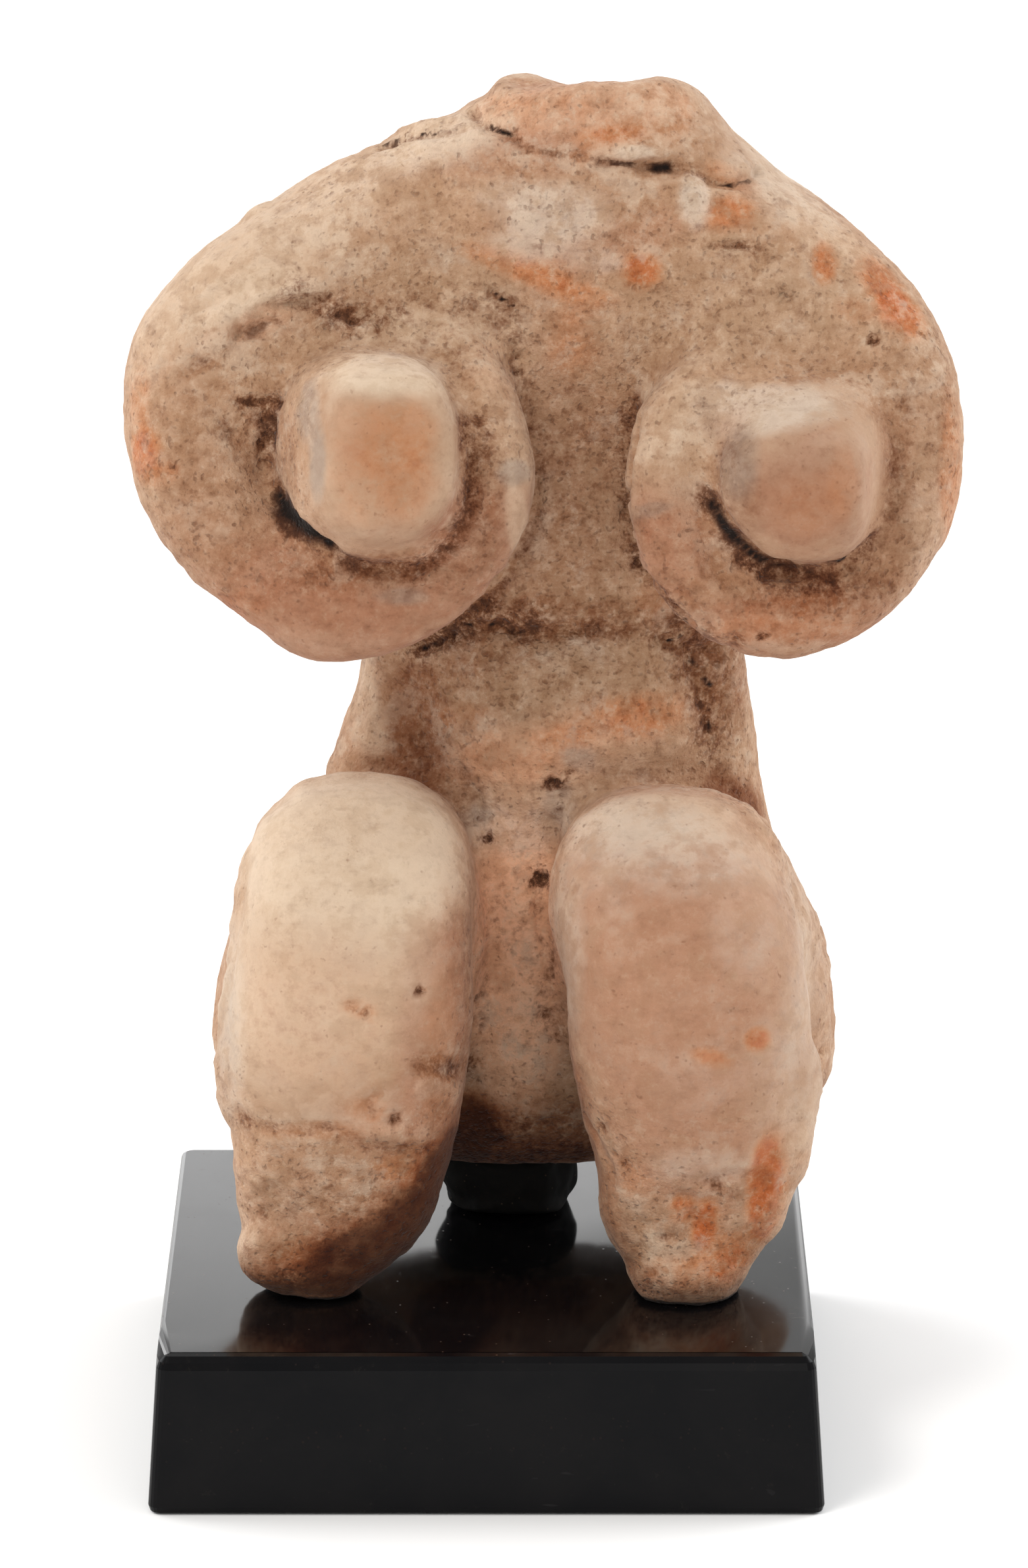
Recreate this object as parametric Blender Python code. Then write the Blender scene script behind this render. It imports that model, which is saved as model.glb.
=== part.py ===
# Headless seated terracotta mother goddess, set up on a small polished black block.
# Metres, +Z up. She faces -Y. The origin is the centre of the block's underside.
# Every size that can be set by itself is named here. The figure's own forms are shares of its height.

import math

import bmesh
import bpy
from mathutils import Euler, Vector

# Display block: a slab with leaning sides, a worn bevel round the top and a small one round the foot.
BLOCK_WIDTH = 0.0516
BLOCK_DEPTH = 0.0516
BLOCK_HEIGHT = 0.0125
BLOCK_LEAN = 0.0008
BLOCK_TOP_BEVEL = 0.0011
BLOCK_FOOT_BEVEL = 0.0007
BLOCK_CORNER_BEVEL = 0.0009
BEVEL_STEPS = 2

# Figure: its height above the block, and where its own origin stands on the block.
IDOL_HEIGHT = 0.0925
IDOL_SHIFT_X = -0.0003
IDOL_SHIFT_Y = 0.0

# Black fixing putty under the seat, and the clearance kept wherever one piece stands on another.
PUTTY_HEIGHT = 0.0044
PUTTY_HALF_WIDTH = 0.0052
PUTTY_HALF_DEPTH = 0.0046
PUTTY_WAIST = 0.88
REST_GAP = 0.0003

# How finely the clay is modelled, as shares of the figure's height.
CLAY_GRAIN = 0.0070
CLAY_SMOOTHING = 10
CLAY_KEPT_FACES = 0.08
RING_SIDES = 28
STEPS_BETWEEN_STATIONS = 4
DOME_STEPS = 4

PERCENT = IDOL_HEIGHT / 100

# Where the figure stands, in percent of its height from its own origin on the block's top.
SEAT_REST = (2.2, 12.5)
SEAT_REST_REACH = (27.0, 12.0)
LEFT_FOOT_REST = (-14.9, -10.2)
RIGHT_FOOT_REST = (16.7, -10.0)
FOOT_REST_REACH = (9.0, 8.0)

TERRACOTTA = (0.55, 0.33, 0.21, 1.0)
BLACK_STONE = (0.008, 0.008, 0.009, 1.0)
BLACK_PUTTY = (0.012, 0.010, 0.009, 1.0)

SIDEWAYS = Vector((1, 0, 0))
FORWARD = Vector((0, -1, 0))


def clear_scene():
    for old in list(bpy.data.objects):
        bpy.data.objects.remove(old, do_unlink=True)


def material(name, colour, roughness, metallic=0.0):
    made = bpy.data.materials.new(name)
    made.use_nodes = True
    shader = made.node_tree.nodes["Principled BSDF"]
    shader.inputs["Base Color"].default_value = colour
    shader.inputs["Roughness"].default_value = roughness
    shader.inputs["Metallic"].default_value = metallic
    return made


def object_from(bm, name, finish=None):
    bmesh.ops.recalc_face_normals(bm, faces=bm.faces)
    mesh = bpy.data.meshes.new(name)
    bm.to_mesh(mesh)
    bm.free()
    made = bpy.data.objects.new(name, mesh)
    bpy.context.scene.collection.objects.link(made)
    if finish:
        mesh.materials.append(finish)
    return made


def as_cutter(made):
    made.hide_render = True
    made.display_type = "WIRE"
    return made


# Soft forms. Each is one closed body, and the clay takes them all in as one.


def curve_between(stations, steps):
    """Stations are tuples of numbers. This reads a smooth curve through them, one number at a time."""
    rows = []
    last = len(stations) - 1
    for i in range(last):
        before, here, after, beyond = (stations[min(max(i + k, 0), last)] for k in (-1, 0, 1, 2))
        for step in range(steps):
            t = step / steps
            rows.append(
                tuple(
                    0.5 * (2 * b + (c - a) * t + (2 * a - 5 * b + 4 * c - d) * t**2 + (3 * b - a - 3 * c + d) * t**3)
                    for a, b, c, d in zip(before, here, after, beyond)
                )
            )
    rows.append(tuple(stations[-1]))
    return rows


def close_rings(bm, rings):
    """Skins a pile of rings and closes both its ends."""
    for lower, upper in zip(rings, rings[1:]):
        for k in range(RING_SIDES):
            after = (k + 1) % RING_SIDES
            bm.faces.new((lower[k], lower[after], upper[after], upper[k]))
    bm.faces.new(rings[0])
    bm.faces.new(rings[-1])


def section(bm, centre, across, outward, reach_across, reach_outward, squareness):
    """One closed ring of points: an ellipse at squareness 2, and nearer a box above it."""
    ring = []
    for k in range(RING_SIDES):
        angle = 2 * math.pi * k / RING_SIDES
        c, s = math.cos(angle), math.sin(angle)
        u = math.copysign(abs(c) ** (2 / squareness), c) * reach_across
        v = math.copysign(abs(s) ** (2 / squareness), s) * reach_outward
        ring.append(bm.verts.new((centre + across * u + outward * v) * PERCENT))
    return ring


def rolled_clay(bm, stations, across=SIDEWAYS, squareness=2.2, dome=0.6, upright=False):
    """A roll of clay through stations of (x, y, z, reach across, reach outward), with domed ends."""
    rows = curve_between(stations, STEPS_BETWEEN_STATIONS)
    points = [Vector(row[:3]) for row in rows]
    spans = [b - a for a, b in zip(points, points[1:])]
    ways = [spans[0]] + [a + b for a, b in zip(spans, spans[1:])] + [spans[-1]]
    if upright:
        ways = [Vector((0, 0, 1))] * len(rows)
    rings = []

    def add_ring(row, centre, way, shrink):
        side = (across - way * across.dot(way)).normalized()
        rings.append(section(bm, centre, side, way.cross(side), row[3] * shrink, row[4] * shrink, squareness))

    def add_dome(row, centre, way, order, outwards):
        for step in order:
            turn = math.pi / 2 * step / DOME_STEPS
            lift = min(row[3], row[4]) * dome * math.sin(turn) * outwards
            add_ring(row, centre + way * lift, way, math.cos(turn))

    first, last = ways[0].normalized(), ways[-1].normalized()
    add_dome(rows[0], points[0], first, range(DOME_STEPS - 1, 0, -1), -1)
    for row, point, way in zip(rows, points, ways):
        add_ring(row, point, way.normalized(), 1)
    add_dome(rows[-1], points[-1], last, range(1, DOME_STEPS), 1)
    close_rings(bm, rings)


def stacked_clay(bm, stations, squareness=2.4):
    """An upright body with level sections, through stations of (height, x, y, half width, half depth)."""
    rows = [(x, y, z, wide, deep) for z, x, y, wide, deep in stations]
    rolled_clay(bm, rows, SIDEWAYS, squareness, dome=0.0, upright=True)


def ball_of_clay(bm, centre, reach, turn=(0, 0, 0)):
    made = bmesh.ops.create_uvsphere(bm, u_segments=RING_SIDES, v_segments=RING_SIDES // 2, radius=1)
    rotation = Euler([math.radians(a) for a in turn]).to_matrix()
    for vert in made["verts"]:
        scaled = Vector(a * b for a, b in zip(vert.co, reach))
        vert.co = (rotation @ scaled + Vector(centre)) * PERCENT


# The figure's forms, in percent of its height: x to her left, y to the back, z up from the block.


def torso(bm):
    stacked_clay(
        bm,
        [
            (20.0, 3.2, 12.0, 21.0, 10.5),
            (30.0, 4.6, 11.3, 20.6, 10.3),
            (38.5, 5.7, 10.3, 18.0, 8.7),
            (44.5, 6.5, 9.7, 16.3, 7.9),
            (50.0, 6.9, 9.2, 15.2, 7.6),
            (56.0, 6.8, 8.6, 15.2, 7.6),
            (63.0, 5.4, 8.1, 18.0, 8.1),
            (71.0, 5.0, 7.6, 21.6, 8.6),
            (80.0, 4.9, 7.0, 26.0, 9.2),
            (87.0, 5.2, 7.0, 25.0, 8.8),
            (91.4, 5.6, 6.8, 19.4, 8.0),
            (94.8, 7.1, 6.5, 14.0, 7.0),
            (97.4, 8.8, 6.4, 10.4, 6.0),
        ],
    )


def neck_stub(bm):
    rolled_clay(
        bm,
        [
            (9.2, 6.1, 91.0, 9.0, 5.4),
            (9.3, 6.3, 96.0, 9.6, 5.8),
            (9.3, 6.5, 97.3, 9.4, 5.6),
            (9.5, 6.65, 98.5, 8.4, 5.3),
        ],
        squareness=2.4,
        dome=0.0,
    )


def belly(bm):
    ball_of_clay(bm, (6.5, 5.4, 45.0), (12.5, 5.5, 12.0))


def flank(bm):
    rolled_clay(bm, [(-6.8, 9.7, 55.0, 3.0, 4.2), (-7.4, 9.7, 48.0, 3.0, 4.4), (-10.0, 9.7, 38.0, 3.8, 5.0)])


def pelvis(bm):
    ball_of_clay(bm, (3.5, 12.0, 19.0), (25.6, 11.6, 15.6))
    ball_of_clay(bm, (-8.0, 17.2, 19.5), (11.4, 9.2, 12.8))
    ball_of_clay(bm, (14.2, 17.2, 19.5), (11.6, 9.2, 12.8))


def legs(bm):
    rolled_clay(
        bm,
        [
            (-14.9, -10.2, 2.2, 4.4, 3.8),
            (-13.3, -10.2, 5.4, 6.7, 5.2),
            (-12.1, -10.0, 9.2, 8.4, 6.2),
            (-11.6, -10.0, 14.5, 9.5, 7.1),
            (-11.1, -10.0, 21.6, 10.2, 8.0),
            (-10.8, -9.2, 28.0, 10.0, 8.6),
            (-10.3, -6.0, 33.8, 9.5, 9.3),
            (-10.3, 0.0, 30.5, 10.2, 10.3),
            (-10.7, 6.0, 22.4, 11.4, 11.6),
            (-11.0, 11.5, 16.6, 12.3, 11.6),
        ],
        squareness=2.4,
    )
    rolled_clay(
        bm,
        [
            (16.7, -10.0, 1.8, 4.9, 3.9),
            (17.1, -10.2, 5.4, 6.6, 5.0),
            (17.5, -10.0, 9.0, 7.9, 6.0),
            (17.9, -10.0, 14.5, 9.4, 7.0),
            (17.3, -10.0, 21.6, 10.2, 8.0),
            (16.6, -9.2, 28.0, 10.0, 8.6),
            (14.8, -5.8, 33.0, 9.4, 9.2),
            (16.5, 0.0, 29.1, 10.4, 10.2),
            (17.6, 6.0, 22.0, 11.6, 11.6),
            (18.2, 11.5, 16.2, 12.2, 11.6),
        ],
        squareness=2.4,
    )


def arms(bm):
    rolled_clay(
        bm,
        [
            (-4.3, 5.5, 86.6, 7.5, 7.5),
            (-13.8, 4.5, 82.1, 7.4, 7.9),
            (-18.8, 3.0, 78.8, 7.2, 8.3),
            (-21.7, 1.2, 74.2, 7.0, 8.3),
            (-22.9, -1.8, 67.4, 6.2, 5.7),
            (-18.0, -4.4, 61.6, 5.6, 5.0),
            (-11.4, -5.9, 58.7, 5.1, 5.0),
            (-6.3, -6.3, 59.8, 4.9, 4.7),
            (-2.8, -6.5, 62.6, 4.6, 4.3),
            (0.0, -6.5, 67.0, 4.3, 4.1),
            (0.2, -5.9, 71.5, 4.0, 3.9),
            (-1.0, -3.5, 76.0, 3.4, 3.2),
            (-3.5, -0.5, 79.0, 3.0, 3.0),
        ],
        across=FORWARD,
        squareness=2.5,
    )
    rolled_clay(
        bm,
        [
            (15.1, 5.5, 86.6, 7.5, 7.5),
            (23.6, 4.5, 83.0, 7.4, 7.8),
            (30.1, 2.0, 76.6, 7.0, 8.2),
            (31.9, 0.3, 71.9, 6.8, 7.8),
            (32.6, -1.2, 67.0, 6.2, 7.0),
            (31.0, -4.0, 62.0, 5.7, 5.4),
            (27.6, -5.2, 59.2, 5.3, 4.8),
            (23.8, -5.9, 58.1, 5.0, 4.3),
            (19.6, -6.4, 59.4, 4.8, 3.9),
            (16.4, -6.6, 63.0, 4.5, 3.7),
            (15.4, -6.5, 67.5, 4.2, 3.6),
            (15.8, -5.9, 72.0, 4.0, 3.7),
            (18.2, -4.0, 76.0, 3.4, 3.2),
            (22.0, -1.5, 78.5, 3.0, 3.0),
        ],
        across=FORWARD,
        squareness=2.5,
    )
    ball_of_clay(bm, (-9.7, 2.0, 73.0), (14.5, 7.5, 13.0))
    ball_of_clay(bm, (23.8, 2.0, 73.0), (12.5, 7.5, 13.0))


def breasts(bm):
    rolled_clay(
        bm,
        [
            (-9.5, -1.0, 70.0, 8.0, 9.0),
            (-9.0, -8.0, 71.2, 7.2, 8.6),
            (-7.6, -14.3, 72.6, 5.4, 6.6),
        ],
        squareness=2.8,
        dome=0.25,
    )
    rolled_clay(
        bm,
        [
            (25.6, -1.0, 70.6, 8.6, 8.2),
            (25.7, -6.5, 69.9, 8.0, 7.3),
            (25.6, -12.9, 68.6, 6.5, 5.7),
        ],
        squareness=2.6,
        dome=0.3,
    )


def slab_cutter(name, centre, reach, top):
    """A slab under a rest. Its top face cuts the clay flat at that height above the display block."""
    bm = bmesh.new()
    bmesh.ops.create_cube(bm, size=2)
    for vert in bm.verts:
        vert.co.x = (centre[0] + vert.co.x * reach[0]) * PERCENT
        vert.co.y = (centre[1] + vert.co.y * reach[1]) * PERCENT
        vert.co.z = top if vert.co.z > 0 else top - reach[1] * PERCENT
    return as_cutter(object_from(bm, name))


def idol(stand):
    bm = bmesh.new()
    for form in (torso, neck_stub, belly, flank, pelvis, legs, arms, breasts):
        form(bm)
    made = object_from(bm, "idol", material("terracotta", TERRACOTTA, 0.85))
    made.parent = stand

    fused = made.modifiers.new("one piece of clay", "REMESH")
    fused.mode = "VOXEL"
    fused.voxel_size = CLAY_GRAIN * IDOL_HEIGHT
    fused.adaptivity = 0
    worn = made.modifiers.new("hand smoothing", "SMOOTH")
    worn.factor = 0.5
    worn.iterations = CLAY_SMOOTHING
    lighter = made.modifiers.new("fewer faces", "DECIMATE")
    lighter.ratio = CLAY_KEPT_FACES
    lighter.use_collapse_triangulate = True

    rests = (
        ("seat_rest_cutter", SEAT_REST, SEAT_REST_REACH, REST_GAP + PUTTY_HEIGHT + REST_GAP),
        ("left_foot_rest_cutter", LEFT_FOOT_REST, FOOT_REST_REACH, REST_GAP),
        ("right_foot_rest_cutter", RIGHT_FOOT_REST, FOOT_REST_REACH, REST_GAP),
    )
    for name, centre, reach, level in rests:
        cutter = slab_cutter(name, centre, reach, level)
        cutter.parent = stand
        cut = made.modifiers.new(name, "BOOLEAN")
        cut.operation = "DIFFERENCE"
        cut.solver = "EXACT"
        cut.object = cutter
    return made


def seat_putty(stand):
    """A squat lump with a soft waist, clear of the block by the rest gap."""
    profile = [(0, 1.0), (0.3, 0.97), (0.6, PUTTY_WAIST), (1, 0.95)]
    bm = bmesh.new()
    rings = []
    for level, share in curve_between(profile, STEPS_BETWEEN_STATIONS):
        ring = []
        for k in range(RING_SIDES):
            angle = 2 * math.pi * k / RING_SIDES
            x = PUTTY_HALF_WIDTH * share * math.cos(angle)
            y = PUTTY_HALF_DEPTH * share * math.sin(angle)
            ring.append(bm.verts.new((x, y, PUTTY_HEIGHT * level)))
        rings.append(ring)
    close_rings(bm, rings)
    made = object_from(bm, "seat_putty", material("black_putty", BLACK_PUTTY, 0.6))
    made.parent = stand
    made.location = (SEAT_REST[0] * PERCENT, SEAT_REST[1] * PERCENT, REST_GAP)


def display_block():
    bm = bmesh.new()
    bmesh.ops.create_cube(bm, size=1)
    for vert in bm.verts:
        above = vert.co.z > 0
        lean = 2 * BLOCK_LEAN if above else 0
        vert.co.x *= BLOCK_WIDTH - lean
        vert.co.y *= BLOCK_DEPTH - lean
        vert.co.z = BLOCK_HEIGHT if above else 0
    corners = [e for e in bm.edges if abs(e.verts[0].co.z - e.verts[1].co.z) > BLOCK_HEIGHT / 2]
    bmesh.ops.bevel(
        bm, geom=corners, offset=BLOCK_CORNER_BEVEL, segments=BEVEL_STEPS, profile=0.5, affect="EDGES"
    )
    for level, width in ((BLOCK_HEIGHT, BLOCK_TOP_BEVEL), (0, BLOCK_FOOT_BEVEL)):
        rim = [e for e in bm.edges if all(abs(v.co.z - level) < BLOCK_FOOT_BEVEL / 10 for v in e.verts)]
        bmesh.ops.bevel(bm, geom=rim, offset=width, segments=1, profile=0.5, affect="EDGES")
    return object_from(bm, "display_block", material("black_stone", BLACK_STONE, 0.06))


def main():
    clear_scene()
    display_block()
    stand = bpy.data.objects.new("idol_stand", None)
    stand.location = (IDOL_SHIFT_X, IDOL_SHIFT_Y, BLOCK_HEIGHT)
    bpy.context.scene.collection.objects.link(stand)
    idol(stand)
    seat_putty(stand)


main()
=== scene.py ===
import math

import bmesh
import bpy
import numpy as np
from mathutils import Matrix, Vector, noise
from mathutils.bvhtree import BVHTree


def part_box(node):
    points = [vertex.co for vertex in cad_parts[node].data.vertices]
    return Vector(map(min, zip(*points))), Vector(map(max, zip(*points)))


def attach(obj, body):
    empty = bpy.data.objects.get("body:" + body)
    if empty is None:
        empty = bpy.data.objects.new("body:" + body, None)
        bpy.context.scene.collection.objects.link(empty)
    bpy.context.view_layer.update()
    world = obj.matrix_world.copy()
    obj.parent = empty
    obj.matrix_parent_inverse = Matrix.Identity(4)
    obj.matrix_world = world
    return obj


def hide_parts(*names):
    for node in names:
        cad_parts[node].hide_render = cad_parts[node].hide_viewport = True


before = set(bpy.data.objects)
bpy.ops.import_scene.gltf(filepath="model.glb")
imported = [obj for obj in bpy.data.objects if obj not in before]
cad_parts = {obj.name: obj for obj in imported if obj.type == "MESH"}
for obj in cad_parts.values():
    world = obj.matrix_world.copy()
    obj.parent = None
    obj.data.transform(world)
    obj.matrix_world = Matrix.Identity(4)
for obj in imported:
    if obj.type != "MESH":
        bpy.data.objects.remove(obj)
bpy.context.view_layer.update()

mm = 0.001
hair = 1e-6                      # closer than this is the same place
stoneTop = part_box("display_block")[1][2]


# the camera comes first, because marks on the clay are placed through it
lookout = {
    "place": (0.0021, -0.5992, 0.2200),
    "tilt": 74.2,              # degrees up from straight down
    "lens": 185.05,
    "sensor": 36.0,
    "columns": 1561,
    "rows": 2380,
    "reach": 0.62,             # metres to the figure
    "pixelsPerMm": 19.4,       # at that distance
}


def putInScene(name, data):
    thing = bpy.data.objects.new(name, data)
    bpy.context.scene.collection.objects.link(thing)
    return thing


def meshFrom(bm, name):
    mesh = bpy.data.meshes.new(name)
    bm.to_mesh(mesh)
    bm.free()
    return mesh


def makeCamera():
    data = bpy.data.cameras.new("lookout")
    data.lens = lookout["lens"]
    data.sensor_width = lookout["sensor"]
    data.clip_start = 0.01
    data.clip_end = 20.0
    camera = putInScene("lookout", data)
    camera.location = lookout["place"]
    camera.rotation_euler = (math.radians(lookout["tilt"]), 0.0, 0.0)
    bpy.context.scene.camera = camera


makeCamera()
sightTurn = Matrix.Rotation(math.radians(lookout["tilt"]), 3, "X")
sightRight = np.array(sightTurn @ Vector((1, 0, 0)))
sightUp = np.array(sightTurn @ Vector((0, 1, 0)))
sightBack = np.array(sightTurn @ Vector((0, 0, 1)))
focalPixels = lookout["lens"] / lookout["sensor"] * lookout["rows"]
pixel = mm / lookout["pixelsPerMm"]


def sightLine(column, row):
    # ray that leaves the camera through a pixel of the photograph's frame
    ray = Vector((column - lookout["columns"] / 2, lookout["rows"] / 2 - row, -focalPixels))
    return Vector(lookout["place"]), (sightTurn @ ray).normalized()


class Wire:
    # a socket that can be added, multiplied and compared like a number
    def __init__(self, tree, socket):
        self.tree = tree
        self.socket = socket

    def sum(self, operation, *values):
        node = self.tree.nodes.new("ShaderNodeMath")
        node.operation = operation
        for place, value in enumerate(values):
            plug(self.tree, node.inputs[place], value)
        return Wire(self.tree, node.outputs[0])

    def __add__(self, other):
        return self.sum("ADD", self, other)

    def __radd__(self, other):
        return self.sum("ADD", other, self)

    def __sub__(self, other):
        return self.sum("SUBTRACT", self, other)

    def __rsub__(self, other):
        return self.sum("SUBTRACT", other, self)

    def __mul__(self, other):
        return self.sum("MULTIPLY", self, other)

    def __rmul__(self, other):
        return self.sum("MULTIPLY", other, self)

    def step(self, low, high):
        # 0 below low, 1 above high, a soft step between; low may be the larger one
        node = self.tree.nodes.new("ShaderNodeMapRange")
        node.interpolation_type = "SMOOTHSTEP"
        turned = low > high
        for name, value in (("Value", self), ("From Min", min(low, high)),
                            ("From Max", max(low, high)), ("To Min", 1.0 if turned else 0.0),
                            ("To Max", 0.0 if turned else 1.0)):
            plug(self.tree, node.inputs[name], value)
        return Wire(self.tree, node.outputs[0])


def plug(tree, inlet, value):
    # a wire is linked, a plain value is set
    if isinstance(value, Wire):
        tree.links.new(value.socket, inlet)
    else:
        inlet.default_value = value


class Finish:
    # one material while it is being mixed
    def __init__(self, name):
        self.material = bpy.data.materials.new(name)
        self.material.use_nodes = True
        self.tree = self.material.node_tree
        self.shader = self.tree.nodes["Principled BSDF"]
        self.place = self.node("ShaderNodeTexCoord", outlet="Object")

    def node(self, kind, settings=None, values=None, outlet=0):
        made = self.tree.nodes.new(kind)
        for name, value in (settings or {}).items():
            setattr(made, name, value)
        for name, value in (values or {}).items():
            plug(self.tree, made.inputs[name], value)
        return Wire(self.tree, made.outputs[outlet])

    def painted(self, name):
        return self.node("ShaderNodeAttribute", {"attribute_name": name}, outlet="Fac")

    def cloud(self, size, detail, roughness, warp=0.0, stretch=None, shift=0.0):
        # soft noise whose blotches are about size metres across
        vector = self.place
        if stretch or shift:
            vector = self.node("ShaderNodeMapping", None,
                               {"Vector": vector, "Scale": stretch or (1, 1, 1),
                                "Location": (shift, shift * 0.7, -shift)})
        return self.node("ShaderNodeTexNoise", None,
                         {"Vector": vector, "Scale": 1.0 / size, "Detail": detail,
                          "Roughness": roughness, "Distortion": warp})

    def grains(self, size, nearness, luck):
        # round grains in cells of that size; luck says how few of them show
        values = {"Vector": self.place, "Scale": 1.0 / size}
        away = self.node("ShaderNodeTexVoronoi", None, values, "Distance")
        chance = self.node("ShaderNodeTexVoronoi", None, values, "Color")
        return away.step(*nearness) * chance.step(*luck)

    def blend(self, factor, under, over, mode="MIX"):
        return self.node("ShaderNodeMix",
                         {"data_type": "RGBA", "blend_type": mode, "clamp_factor": True},
                         {0: factor, 6: under, 7: over}, outlet=2)

    def feed(self, **values):
        for name, value in values.items():
            plug(self.tree, self.shader.inputs[socketNames[name]], value)

    def relief(self, strength, distance, height):
        self.feed(normal=self.node("ShaderNodeBump", None,
                                   {"Strength": strength, "Distance": distance,
                                    "Height": height}))


socketNames = {
    "colour": "Base Color",
    "roughness": "Roughness",
    "specular": "Specular IOR Level",
    "ior": "IOR",
    "sheen": "Sheen Weight",
    "sheenRoughness": "Sheen Roughness",
    "sheenTint": "Sheen Tint",
    "glow": "Emission Color",
    "glowPower": "Emission Strength",
    "normal": "Normal",
}


def tint(red, green, blue):
    # a colour picked on the screen, 0 to 255, made linear
    def straight(value):
        value /= 255.0
        return value / 12.92 if value <= 0.04045 else ((value + 0.055) / 1.055) ** 2.4
    return (straight(red), straight(green), straight(blue), 1.0)


# the figure's clay skin
clayForm = {
    "grain": 0.465 * mm,         # spacing of the skin's points
    "calm": 22,                  # passes that take out the CAD facets
    "settle": 0.27 * mm,         # how far the soles come down onto the stone
    "swell": 0.16 * mm,          # slow unevenness of the hand-rolled forms
    "knead": 0.13 * mm,          # finger-sized unevenness
    "crumb": 0.095 * mm,         # weathered surface
    # how deep along the sight line each kind of mark reaches
    "pullReach": 12 * mm,
    "soleReach": 4 * mm,
    "burnishReach": 14 * mm,
    "rubReach": 7 * mm,
    "crumbleReach": 6 * mm,
    "paintReach": 2.2 * mm,
    # marks are drawn this much wider than listed, because they fade towards their edge
    "widen": 1.25,
    "widenPaint": 1.3,
    "widenDarkLines": 1.5,
    "widenPits": 1.15,
    "widenGaps": 4,
    "worn": 0.82,                # how much of the crumb is gone from rubbed places
    "waver": 0.35,               # how unevenly grooves are cut
    "deepGaps": 5,               # so many of the black gaps are rubbed round at their edge
    "soleShadow": 0.55 * mm,       # height over the stone painted dark as the soles' contact shadow
    # unevenness: size of the blotches, seed, octaves
    "noise": {
        "swell": (11 * mm, 3, 2),
        "knead": (3.4 * mm, 5, 2),
        "wobble": (1.6 * mm, 11, 2),
        "crumb": (1.25 * mm, 17, 3),
        "flake": (2.1 * mm, 31, 3),
    },
    # the surface: width of the blotches in each cloud of colour
    "clouds": {
        "broad": 8 * mm,
        "middle": 2.6 * mm,
        "fine": 0.8 * mm,
        "grit": 0.24 * mm,
        "streak": 1.3 * mm,
        "flock": 3.6 * mm,
        "fleck": 0.42 * mm,
    },
    "roughness": 0.92,
    "polish": 0.20,              # how much less rough burnished clay is
    "specular": 0.20,
    "sheen": 0.09,               # dusty surface, paler where it turns away
    "sheenTint": (1.0, 0.97, 0.95, 1.0),
    "relief": 0.34 * mm,         # small relief that the mesh is too coarse for
}


def fieldOf(points, size, seed, octaves):
    # noise between about -1 and 1, blotches about size metres across
    shift = Vector((seed * 3.17, seed * 1.31, seed * 2.23))
    scale = 1.0 / size
    fade, shrink = 0.9, 2.1          # how each octave weakens, and how much finer it is
    return np.array([noise.fractal(Vector(p) * scale + shift, fade, shrink, octaves)
                     for p in points])


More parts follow.
